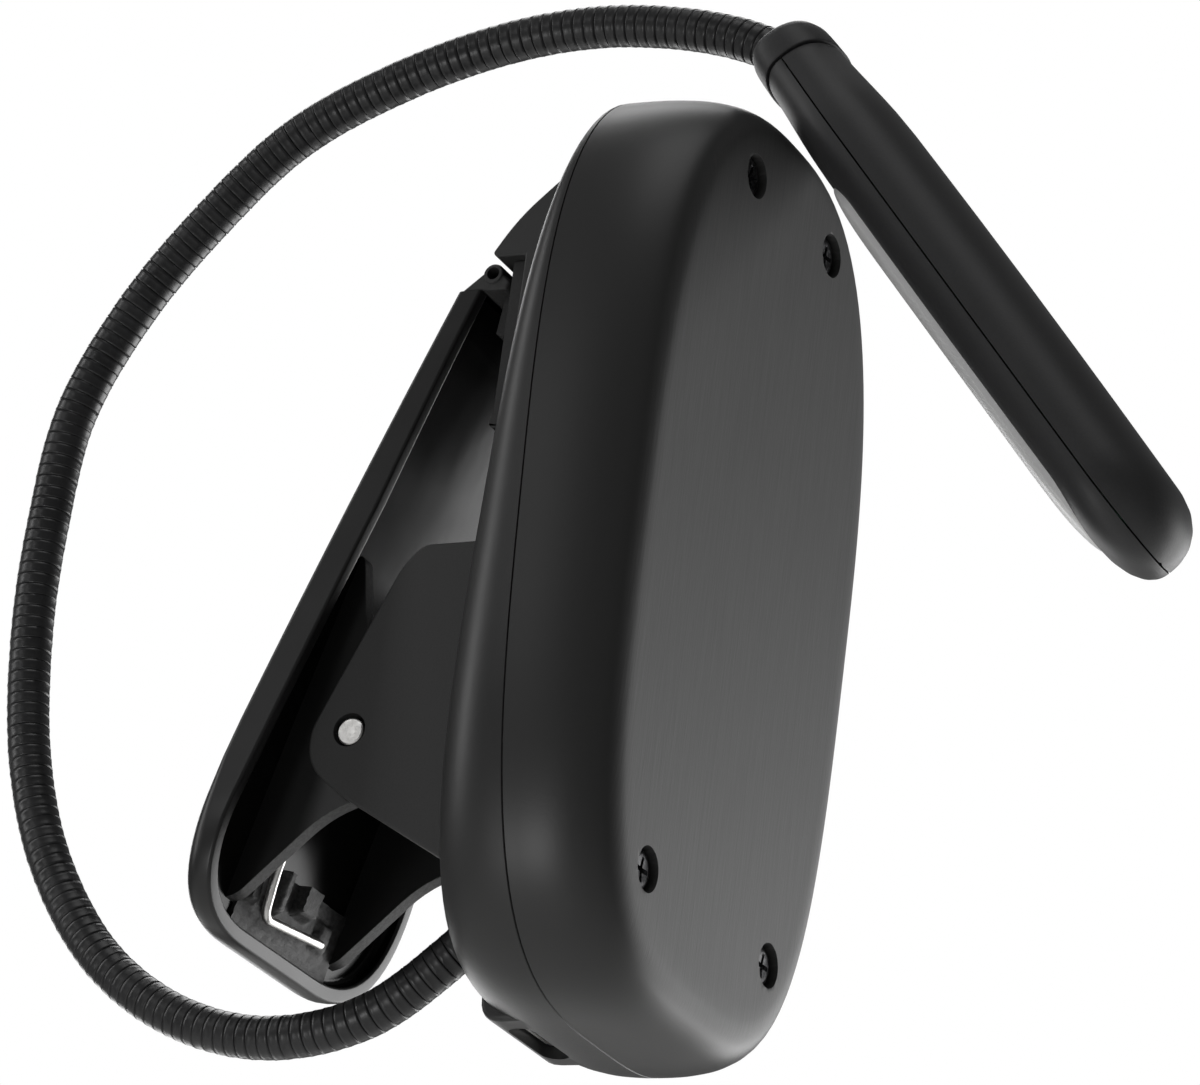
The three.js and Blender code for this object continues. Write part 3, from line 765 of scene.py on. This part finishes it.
def tray_rings():
    rings = []
    turn_steps = 6
    outline = lever_outline(0)
    inner = lever_outline(1.0)
    inward = [Vector((b[0] - a[0], b[1] - a[1])) for a, b in zip(outline, inner)]

    def ring(inset, depth):
        made = []
        for (x, z), step in zip(outline, inward):
            shift = inset(z) if callable(inset) else inset
            deep = depth(z) if callable(depth) else depth
            px = x + step.x * shift
            pz = min(z + step.y * shift, lever_cut_z)
            made.append((px, back_y(pz) - deep, pz))
        return made

    rings.append(ring(9.0, 0.0))
    rings.append(ring(lambda z: back_round(z) + 1.2, 0.0))
    for i in range(turn_steps + 1):
        angle = math.pi / 2 * i / turn_steps
        rings.append(
            ring(
                lambda z, a=angle: back_round(z) * (1 - math.sin(a)),
                lambda z, a=angle: min(back_round(z), rim_depth(z) - 0.5) * (1 - math.cos(a)),
            )
        )
    lip = 0.35
    for i in range(4):
        angle = math.pi / 2 * i / 3
        rings.append(
            ring(lip * (1 - math.cos(angle)), lambda z, a=angle: rim_depth(z) - lip * (1 - math.sin(a)))
        )
    for i in range(4):
        angle = math.pi / 2 * i / 3
        rings.append(
            ring(
                rim_wall - lip * (1 - math.sin(angle)),
                lambda z, a=angle: rim_depth(z) - lip * (1 - math.cos(a)),
            )
        )
    fillet = 0.9
    for i in range(5):
        angle = math.pi / 2 * i / 4
        rings.append(
            ring(
                rim_wall + fillet * (1 - math.cos(angle)),
                lambda z, a=angle: min(plate + fillet * (1 - math.sin(a)), rim_depth(z) - 0.1),
            )
        )
    rings.append(ring(8.6, plate))
    return rings


lever = skin("lever_tray", tray_rings())
smooth(lever, 50)
lever_plastic = Finish("lever_plastic", (0.019, 0.019, 0.019), 0.32)
waves = lever_plastic.noise(140, 2)
sheen = lever_plastic.noise(1800, 3)
lever_plastic.tone(waves, 0.8, 1.2)
lever_plastic.set("Roughness", 0.30 + waves * 0.1)
lever_plastic.relief(sheen, 0.012, 0.4)
gloss_plastic = Finish("gloss_plastic", (0.004, 0.004, 0.004), 0.12, Specular_IOR_Level=0.18)
ripple = gloss_plastic.noise(220, 2, (1, 1, 0.3))
gloss_plastic.tone(ripple, 0.7, 1.4)
gloss_plastic.set("Roughness", 0.16 + ripple * 0.12)
gloss_plastic.relief(ripple, 0.06, 0.35)
cast_plastic = Finish("cast_plastic", (0.030, 0.030, 0.030), 0.6)
pits = cast_plastic.noise(2400, 5, rough=0.7)
lumps = cast_plastic.noise(420, 2)
cast_plastic.tone(pits.between(0.35, 0.7), 0.45, 1.9)
cast_plastic.set("Roughness", 0.42 + pits * 0.3)
cast_plastic.relief(pits * 0.5 + lumps * 0.5, 0.18, 0.7)
wear(lever, lever_plastic, gloss_plastic)


def inside_tray(x, y, z, normal):
    """Whether a face of the tray is its floor or the inner side of its rim."""
    depth = back_y(z) - y
    floor = depth > plate - 0.35 and normal.y < -0.3 and depth < plate + 0.35
    inwards = Vector((-x, 0, -20 - z)).dot(normal) > 0
    return floor or 0.6 < depth < rim_depth(z) - 0.3 and inwards and abs(normal.y) < 0.9


paint_faces(lever, 1, inside_tray)
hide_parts("lever")
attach(lever, "lever")

rib_outline = [
    (back_y(-40.2) - 1.2, -40.2),
    (back_y(-2) - 1.2, -2),
    (back_y(-2) - 2.3, -2.4, 0.8),
    (38.0, -10.0, 2.0),
    (34.2, -15.5, 2.6),
    (31.4, -20, 2.4),
    (31.6, -28.6, 3.5),
    (39.2, -30.6, 3.5),
    (48.6, -39.6, 0.8),
]
rib_outer = 12.1
rib_thick = 1.8
for side, side_name in ((-1, "near"), (1, "far")):
    inner = side * (rib_outer - rib_thick)
    outer = side * rib_outer
    rib = slab(f"lever_rib_{side_name}", rib_outline, min(inner, outer), max(inner, outer))
    hole = [(0, pin_radius + 0.3), (10, pin_radius + 0.3)]
    carve(rib, [turned("hole", (side * 11.2 - 5, pin_y, pin_z), (1, 0, 0), hole)])
    smooth(soften(rib, 0.3, 3, 50))
    wear(rib, lever_plastic, cast_plastic)
    paint_faces(rib, 1, lambda x, y, z, normal: abs(normal.x) < 0.75)
    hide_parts("lever")
    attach(rib, "lever")

ledge_top = 2.45
ledge_rows = 26
ledge_columns = 44
draw = random.Random(7)
ledge_half = rib_outer - rib_thick + 0.1


def ledge_bump(x, z):
    """The cast surface of the ledge: a rough field with a few bosses left by the mould."""
    bosses = [
        (-4.4, -36.6, 0.75, 2.3, 1.5),
        (1.4, -36.0, 1.5, 1.5, 1.25),
        (6.8, -38.2, 1.1, 1.3, 0.7),
        (-8.6, -37.4, 0.9, 1.8, 0.9),
    ]
    height = 0.0
    for bx, bz, half_x, half_z, tall in bosses:
        away = max(abs(x - bx) / half_x, abs(z - bz) / half_z)
        height = max(height, tall * min(max((1.25 - away) / 0.3, 0), 1))
    return height


ledge_points = []
for row in range(ledge_rows + 1):
    z = -42.3 + 7.6 * row / ledge_rows
    for column in range(ledge_columns + 1):
        x = ledge_half * (2 * column / ledge_columns - 1)
        rough = draw.uniform(-0.07, 0.07)
        ledge_points.append((x, back_y(z) - ledge_top - ledge_bump(x, z) + rough, z))
ledge_faces = []
wide = ledge_columns + 1
for row in range(ledge_rows):
    for column in range(ledge_columns):
        a = row * wide + column
        ledge_faces.append((a, a + 1, a + wide + 1, a + wide))
edge_loop = [*range(wide)]
edge_loop += [row * wide + ledge_columns for row in range(1, ledge_rows + 1)]
edge_loop += [ledge_rows * wide + column for column in range(ledge_columns - 1, -1, -1)]
edge_loop += [row * wide for row in range(ledge_rows - 1, 0, -1)]
base_start = len(ledge_points)
for index in edge_loop:
    x, y, z = ledge_points[index]
    ledge_points.append((x, back_y(z) - plate + 0.6, z))
for j in range(len(edge_loop)):
    k = (j + 1) % len(edge_loop)
    ledge_faces.append((edge_loop[j], edge_loop[k], base_start + k, base_start + j))
ledge_faces.append(tuple(base_start + j for j in range(len(edge_loop))))
ledge = smooth(make("lever_ledge", ledge_points, ledge_faces), 60)
wear(ledge, cast_plastic)
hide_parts("lever")
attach(ledge, "lever")

# ---------------------------------------------------------------------------------------------
# Lever grip. A rubber cap over the lever's tip: a rolled bead at the end, pierced for its wire,
# and a ridged pad under the plate that bites against the fixed pad.

grip_half = 12.0
cap_outline = [
    (back_y(lever_cut_z) - 0.1, lever_cut_z + 0.1),
    (27.1, lever_cut_z + 0.1),
    (26.6, 28.6, 0.4),
    (27.8, 29.7),
    (29.8, 29.9, 0.5),
]
grip_outline = [(28.0, 28.2), (28.6, 23.5), (27.8, 23.1)]
ridges = 4
for i in range(ridges):
    z = 23.9 + i * 1.05
    valley = 26.95 - i * 0.12
    grip_outline += [(valley, z + 0.1, 0.15), (26.5, z + 0.5, 0.2), (valley, z + 0.9, 0.15)]
grip_outline += [(26.4, 28.4, 0.4)]
cap = soften(slab("lever_grip_cap", cap_outline, -grip_half, grip_half), 0.3, 3, 50)
under = slab("grip", grip_outline, -9.9, 9.9)
bead_profile = [(0, 0.55), (0, 1.0), (0.12, 1.14), (0.3, 1.2)]
bead_profile += [(2 * grip_half + 0.3 - d, r) for d, r in reversed(bead_profile)]
bead = turned("bead", (-grip_half - 0.15, 28.75, 29.55), (1, 0, 0), bead_profile, 40)
carve(cap, [under, bead], "UNION")
carve(cap, [turned("hole", (-20, 28.75, 29.6), (1, 0, 0), [(0, 0.72), (40, 0.72)], 32)])
smooth(cap, 40)
grip_rubber = Finish("grip_rubber", (0.040, 0.040, 0.040), 0.6)
speckle = grip_rubber.noise(2200, 4)
grip_rubber.tone(speckle, 0.6, 1.5)
grip_rubber.set("Roughness", 0.5 + speckle * 0.2)
grip_rubber.relief(speckle, 0.08, 0.6)
wear(cap, grip_rubber)
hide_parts("lever_grip")
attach(cap, "lever")

# ---------------------------------------------------------------------------------------------
# Torsion spring. Bright 1 mm wire wound close round the pin. One leg bears on the housing and
# the other runs down to the press end, where it turns across the lever as a foot.

wire = 0.5
coil_radius = 2.55
coil_half = 4.8
coil_turns = 9
wire_dome = [(0.2, 0.85), (0.3, 0.5)]


def wire_along(name, centres, radius, sides=14):
    """A round wire along a line of points, with domed ends."""
    line = [Vector(p) for p in centres]
    rings = []
    normal = None
    for i, point in enumerate(line):
        ahead = line[min(i + 1, len(line) - 1)] - line[max(i - 1, 0)]
        ahead.normalize()
        normal = ahead.orthogonal() if normal is None else normal - ahead * normal.dot(ahead)
        normal.normalize()
        other = ahead.cross(normal)

        def ring(centre, size):
            turns = [2 * math.pi * j / sides for j in range(sides)]
            return [centre + (normal * math.cos(a) + other * math.sin(a)) * size for a in turns]

        if i == 0:
            rings += [ring(point - ahead * radius * d, radius * r) for d, r in wire_dome[::-1]]
        rings.append(ring(point, radius))
        if i == len(line) - 1:
            rings += [ring(point + ahead * radius * d, radius * r) for d, r in wire_dome]
    return smooth(skin(name, rings), 60)


def bent(corners, steps=7):
    """A line through (x, y, z, radius) corners, rounded at each corner."""
    line = []
    for i, corner in enumerate(corners):
        point = Vector(corner[:3])
        if len(corner) < 4:
            line.append(point)
            continue
        before, after = Vector(corners[i - 1][:3]), Vector(corners[i + 1][:3])
        start = point + (before - point).normalized() * corner[3]
        end = point + (after - point).normalized() * corner[3]
        for j in range(steps + 1):
            t = j / steps
            line.append(start * (1 - t) ** 2 + point * (2 * t * (1 - t)) + end * t * t)
    return line


coil_line = [
    (coil_half + 0.6, 23.0, -31.5),
    (coil_half + 0.5, 33.0, -25.4),
]
coil_steps = coil_turns * 28
for i in range(coil_steps + 1):
    angle = math.radians(-125) + 2 * math.pi * coil_turns * i / coil_steps
    x = coil_half - 2 * coil_half * i / coil_steps
    coil_line.append((x, pin_y + coil_radius * math.sin(angle), pin_z + coil_radius * math.cos(angle)))
coil = wire_along("spring_coil", coil_line, wire)
wear(coil, bright_steel)
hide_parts("torsion_spring")
spot(coil_half, pin_y, pin_z)
spot(-coil_half, pin_y, pin_z)
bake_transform(coil)

leg_line = bent(
    [
        (-coil_half - 0.3, 38.4, -20.9),
        (-8.4, 39.4, -22.4, 0.8),
        (-9.2, 45.4, -32.2, 5.5),
        (-6.5, 48.3, -40.4, 1.3),
        (5.2, 47.9, -39.4),
    ]
)
leg = wire_along("spring_leg", leg_line, wire, 18)
wear(leg, bright_steel)
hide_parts("torsion_spring")
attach(leg, "lever")

# ---------------------------------------------------------------------------------------------
# Gooseneck. A steel core wound with black lacquered strip: hundreds of narrow rounded turns with
# a fine groove between them. It bends a little at every turn; the lengths are cut at the middle of each
# link.

neck_radius = 2.35
neck_links = 9
turns_per_link = 20
neck_points = [
    (19.6, -33.4),
    (28.7, -42.5),
    (38, -49.2),
    (49.2, -51.4),
    (60.5, -49),
    (71, -42.4),
    (79.5, -31.4),
    (84.5, -19),
    (87, -4),
    (87.3, 9),
    (86, 22.5),
    (80.5, 34.5),
    (72.6, 45),
    (63, 54.4),
    (51, 60.3),
    (38, 63.9),
    (26.5, 64.8),
    (15.5, 63.4),
    (7.6, 61),
    (3.9, 59),
    (2.2, 57),
]


def curve_through(points, steps=40):
    """A smooth line through the points, with knots spaced by the root of each chord."""
    line = np.array(points, float)
    line = np.vstack([2 * line[0] - line[1], line, 2 * line[-1] - line[-2]])
    made = []
    for i in range(1, len(line) - 2):
        p = line[i - 1 : i + 3]
        knots = np.concatenate(([0], np.cumsum(np.linalg.norm(np.diff(p, axis=0), axis=1) ** 0.5)))
        for t in np.linspace(knots[1], knots[2], steps, endpoint=False):
            a = [
                p[j] + (p[j + 1] - p[j]) * (t - knots[j]) / (knots[j + 1] - knots[j])
                for j in range(3)
            ]
            b = [
                a[j] + (a[j + 1] - a[j]) * (t - knots[j]) / (knots[j + 2] - knots[j])
                for j in range(2)
            ]
            made.append(b[0] + (b[1] - b[0]) * (t - knots[1]) / (knots[2] - knots[1]))
    made.append(line[-2])
    return np.array(made)


neck_line = curve_through(neck_points)
neck_reach = np.concatenate(([0], np.cumsum(np.linalg.norm(np.diff(neck_line, axis=0), axis=1))))
neck_length = neck_reach[-1]
link_length = neck_length / neck_links
turn_pitch = link_length / turns_per_link
neck_sides = 30
turn_profile = [(0.0, 0.17), (0.06, 0.02), (0.13, -0.01), (0.3, 0.03), (0.7, 0.03), (0.93, 0.0)]


def neck_centre(distance):
    y = np.interp(distance, neck_reach, neck_line[:, 0])
    z = np.interp(distance, neck_reach, neck_line[:, 1])
    return Vector((0, y, z))


def neck_ring(distance, radius, lean=0.0):
    """A ring of the winding, square to the neck's line or leaning a little."""
    ahead = (neck_centre(distance + 0.2) - neck_centre(distance - 0.2)).normalized()
    across = Vector((1, 0, 0))
    up = across.cross(ahead)
    ring = []
    for j in range(neck_sides):
        angle = 2 * math.pi * j / neck_sides
        point = neck_centre(distance) + (across * math.cos(angle) + up * math.sin(angle)) * radius
        ring.append(point + ahead * lean * math.sin(angle))
    return ring


winding = Finish("neck_winding", (0.027, 0.027, 0.028), 0.3)
smear = winding.noise(260, 3)
fine_wear = winding.noise(2600, 3)
winding.tone(smear, 0.7, 1.4)
winding.set("Roughness", 0.24 + smear * 0.18 + fine_wear * 0.06)
winding.relief(fine_wear, 0.02, 0.5)
ring_draw = random.Random(11)
neck_bodies = ["base", *(f"neck_{i}" for i in range(1, neck_links - 1)), "head"]
neck_stops = [0, *((i + 0.5) * link_length for i in range(neck_links)), neck_length]
for number, (low, high) in enumerate(zip(neck_stops, neck_stops[1:])):
    rings = []
    for turn in range(round((high - low) / turn_pitch)):
        slack = ring_draw.uniform(-0.02, 0.015)
        lean = ring_draw.uniform(-0.05, 0.05)
        for share, sunk in turn_profile:
            size = neck_radius - sunk + (slack if 0.1 < share < 0.9 else 0)
            rings.append(neck_ring(low + (turn + share) * turn_pitch, size, lean * (0.05 < share)))
    rings.append(neck_ring(high, neck_radius - 0.2))
    length = smooth(skin(f"neck_length_{number}", rings), 75)
    wear(length, winding)
    if number < neck_links:
        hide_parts(f"neck_link_{number}")
    if 0 < number < neck_links:
        ends = [spot(*neck_centre(low)), spot(*neck_centre(high))]
        neck_bodies[number - 1]
        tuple(ends[0])
        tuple(ends[1])
        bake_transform(length)
    else:
        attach(length, "base" if number == 0 else "head")

# ---------------------------------------------------------------------------------------------
# Neck socket. A turned ring of black ABS that grips the neck where it leaves the clamp shell.

socket_profile = [
    (0, 2.5),
    (0, 4.0),
    (7.2, 4.0),
    (8.2, 3.9),
    (9.4, 3.55),
    (10.1, 3.2),
    (10.3, 2.9),
    (10.2, 2.5),
]
socket = turned("neck_socket_ring", (0, 19.6, -33.4), (0, 1, -1), socket_profile, 56)
smooth(socket, 40)
wear(socket, shell_plastic)
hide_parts("neck_socket")
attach(socket, "base")

# ---------------------------------------------------------------------------------------------
# Head shells. Two matt black ABS halves that meet in a thin line round the sides: a full,
# rounded back and a flatter front with a long window for the diffuser.

head_start = Vector((0, 3.55, 58.9))
head_along = Vector((0, -0.62, -0.785)).normalized()
head_back_way = head_along.cross(Vector((1, 0, 0)))
head_length = 79.0
head_half = 9.4
back_thick = 6.3
front_thick = 4.2
collar_length = 4.6
head_sides = 64


def head_spot(x, y, z):
    """A point of the head: x across, y to its back, z along it from the collar's end."""
    return spot(*(head_start + Vector((x, 0, 0)) + head_back_way * y + head_along * z))


def head_size(z):
    """Half width and share of the full thickness at a distance along the head."""
    left = max(head_length - z, 0)
    round_x = math.sqrt(max(0, 1 - (1 - left / head_half) ** 2)) if left < head_half else 1
    nose = 6.4
    round_y = math.sqrt(max(0, 1 - (1 - left / nose) ** 2)) if left < nose else 1
    t = min(max((z - 2) / 16, 0), 1)
    shoulder = t * t * (3 - 2 * t)
    belly = math.sin(math.pi * min(max(z / head_length, 0), 1))
    half = round_x * (6.5 + (head_half - 6.5) * shoulder)
    return half, round_y * (0.8 + 0.14 * shoulder + 0.06 * belly)


def head_ring(z, inset, low=0.0, high=1.0, count=head_sides):
    """Part of the head's section, as a share of a full turn that starts at the far side."""
    half, thick = head_size(z)
    ring = []
    for j in range(count + 1):
        angle = 2 * math.pi * (low + (high - low) * j / count)
        c, s = math.cos(angle), math.sin(angle)
        depth = (back_thick if s > 0 else front_thick) * thick - inset
        x = max(half - inset, 0.03) * math.copysign(abs(c) ** 0.84, c)
        y = max(depth, 0.03) * math.copysign(abs(s) ** 0.84, s)
        ring.append((x, y, z))
    return ring


head_stops = [collar_length + 0.12, collar_length + 0.3, 5.6, 7, 9, 11, 13, 15, 18, 24, 32, 42, 52, 60]
head_stops += [66, 69, 71, 72.8, 74.4, 75.8, 76.9, 77.7, 78.3, 78.7, 78.9, 78.99]
shell_wall = 1.3
part_line = 0.09


def half_shell(name, side):
    """One shell: the outer skin, the parting edge with its small round, and the inner skin."""
    low, high = (0, 0.5) if side > 0 else (0.5, 1)
    count = head_sides // 2
    rows = []
    for z in head_stops:
        inset = 0.12 if z == head_stops[0] else 0.0
        outer = head_ring(z, inset, low, high, count)
        room = min(shell_wall, head_size(z)[0] * 0.45, head_size(z)[1] * 2.2)
        inner = head_ring(z, room, high, low, count)
        edge = []
        for x, y, w in outer:
            edge.append((x, y if abs(y) > part_line else side * part_line, w))
        sunk = []
        for x, y, w in inner:
            sunk.append((x, y if abs(y) > part_line else side * part_line, w))
        rows.append(edge + sunk)
    return skin(name, rows, head_spot)


back_shell = half_shell("head_back", 1)
soften(back_shell, 0.12, 2, 60)
smooth(back_shell, 40)
front_shell = half_shell("head_front", -1)
window_half = 6.5
window_low = 19.0
window_high = 73.0


def window_ring(y, grow, count=64):
    """The window's outline: a long slot with round ends."""
    middle = (window_low + window_high) / 2
    straight = (window_high - window_low) / 2 - window_half
    ring = []
    for j in range(count):
        angle = 2 * math.pi * (j + 0.5) / count
        z = middle + math.copysign(straight, math.sin(angle)) + (window_half + grow) * math.sin(angle)
        ring.append(((window_half + grow) * math.cos(angle), y, z))
    return ring


carve(front_shell, [skin("window", [window_ring(y, 0.12) for y in (-9, -1.5)], head_spot)])
soften(front_shell, 0.14, 2, 60)
smooth(front_shell, 40)

head_plastic = Finish("head_plastic", (0.034, 0.034, 0.035), 0.5)
matt = head_plastic.noise(3600, 3)
haze = head_plastic.noise(60, 3)
dust_inputs = {"Vector": head_plastic.place(), "Scale": 170.0, "Randomness": 1.0}
dust_spots = head_plastic.add("TexVoronoi", dust_inputs)
dust = 1 - dust_spots.between(0.018, 0.034)
head_plastic.tone((haze * 0.5 + matt * 0.3 + dust * 0.9).clipped(), 0.7, 2.0)
head_plastic.set("Roughness", 0.42 + haze * 0.12 + matt * 0.08)
head_plastic.relief(matt + dust * 0.8, 0.03, 0.5)
for shell, node in ((back_shell, "head_back_shell"), (front_shell, "head_front_shell")):
    wear(shell, head_plastic)
    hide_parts(node)
    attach(shell, "head")

# ---------------------------------------------------------------------------------------------
# Head collar. A separate cap of the same plastic that closes the head's end round the neck.

collar_stops = [(0.0, 0.60), (0.05, 0.72), (0.3, 0.84), (0.8, 0.93), (1.6, 0.99), (2.6, 1.0)]
collar_stops += [(collar_length - 0.25, 1.0), (collar_length - 0.08, 0.985)]
collar_rings = []
for z, share in collar_stops:
    full = head_ring(max(z, 1.0), -0.25)[:-1]
    collar_rings.append([(x * share, y * share, z) for x, y, _ in full])
collar = skin("neck_collar", collar_rings, head_spot)
carve(collar, [turned("hole", (0, 0, -1), (0, 0, 1), [(0, 2.5), (9, 2.5)], 48, head_spot)])
smooth(collar, 36)
wear(collar, head_plastic)
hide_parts("head_collar")
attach(collar, "head")

# ---------------------------------------------------------------------------------------------
# Diffuser. A milky acrylic strip that fills the window and stands out of it as a low dome, with a
# painted glow.

dome_rise = 0.8
dome_steps = 10


def dome_ring(share, y):
    """A ring of the dome: the window's outline, drawn in by the share."""
    middle = (window_low + window_high) / 2
    ring = []
    for x, _, z in window_ring(0, -0.1, 72):
        reach = z - middle
        drawn = reach - math.copysign(min((1 - share) * window_half * 1.3, abs(reach)), reach)
        ring.append((x * share, y, middle + drawn))
    return ring


dome_rings = [dome_ring(1, -front_thick + 2.6), dome_ring(1, -front_thick + 0.4)]
for i in range(1, dome_steps + 1):
    angle = math.pi / 2 * i / dome_steps * 0.94
    height = (dome_rise + 0.4) * math.sin(angle)
    dome_rings.append(dome_ring(math.cos(angle), -front_thick + 0.4 - height))
diffuser = smooth(skin("diffuser_strip", dome_rings, head_spot), 50)
# A faint white emission: painted light that brightens the strip, though the LEDs behind it are not lit.
painted_glow = {"Emission_Color": (1, 1, 1, 1), "Emission_Strength": 0.04}
milk = Finish("milk_acrylic", (0.84, 0.84, 0.84), 0.35, **painted_glow)
mist = milk.noise(90, 2)
milk.tone(mist, 0.93, 1.06)
milk.set("Roughness", 0.30 + mist * 0.12)
milk.relief(milk.noise(1800, 2), 0.01, 0.3)
wear(diffuser, milk)
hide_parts("head_diffuser")
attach(diffuser, "head")

# ---------------------------------------------------------------------------------------------
# Light board. A narrow printed board behind the diffuser with six warm LEDs in a row.

board_finish = Finish("solder_mask", (0.02, 0.16, 0.07), 0.35)
trace_inputs = {"Vector": board_finish.place(), "Scale": 420.0, "Mortar Size": 0.03}
traces = board_finish.add("TexBrick", trace_inputs, out="Fac")
board_finish.tone(traces, 0.8, 2.4)
board_finish.relief(traces, 0.03, 0.5)
led_finish = Finish("led_resin", (0.85, 0.62, 0.12), 0.3)
phosphor = led_finish.noise(4000, 2)
led_finish.tone(phosphor, 0.85, 1.1)
led_finish.set("Roughness", 0.25 + phosphor * 0.15)
for node in ("led_board", "circuit_board"):
    wear(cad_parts[node], board_finish)
for number in range(1, 7):
    wear(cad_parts[f"led_{number}"], led_finish)

# ---------------------------------------------------------------------------------------------
# Power button. A soft rubber bar in the far side wall, domed and slightly proud of the shell.

button_rings = [button_ring(23.6, -0.3), button_ring(23.9, 0)]
for i in range(7):
    angle = math.pi / 2 * i / 6
    button_rings.append(button_ring(27.9 + 0.7 * math.sin(angle), -1.1 * (1 - math.cos(angle))))
button = smooth(skin("power_key", button_rings), 50)
wear(button, rubber)
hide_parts("power_button")
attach(button, "button")

# ---------------------------------------------------------------------------------------------
# Charging socket. A drawn steel sleeve with a contact tongue, behind the slot in the boss.

sleeve_rings = [slot_ring(z, grow) for z, grow in ((-51.3, -0.35), (-45.2, -0.35))]
sleeve_rings += [slot_ring(z, grow) for z, grow in ((-45.2, -0.7), (-51.3, -0.7))]
sleeve = smooth(skin("charging_sleeve", sleeve_rings, loop=True), 40)
wear(sleeve, bright_steel)
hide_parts("charge_socket")
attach(sleeve, "base")
tongue_box = block("contact_tongue", (-2.6, slot_y - 0.35, -50.6), (2.6, slot_y + 0.35, -45.4))
tongue = smooth(soften(tongue_box, 0.12))
wear(tongue, screw_steel)
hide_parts("charge_socket")
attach(tongue, "base")

# ---------------------------------------------------------------------------------------------
# Inner parts of the base. The pouch cell and the switch under the button, both inside the shells.

foil = Finish("cell_foil", (0.55, 0.55, 0.57), 0.35, 0.8)
creases = foil.noise(260, 5)
foil.tone(creases, 0.8, 1.15)
foil.relief(creases, 0.15, 0.6)
wear(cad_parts["battery_cell"], foil)
wear(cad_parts["push_switch"], screw_steel)
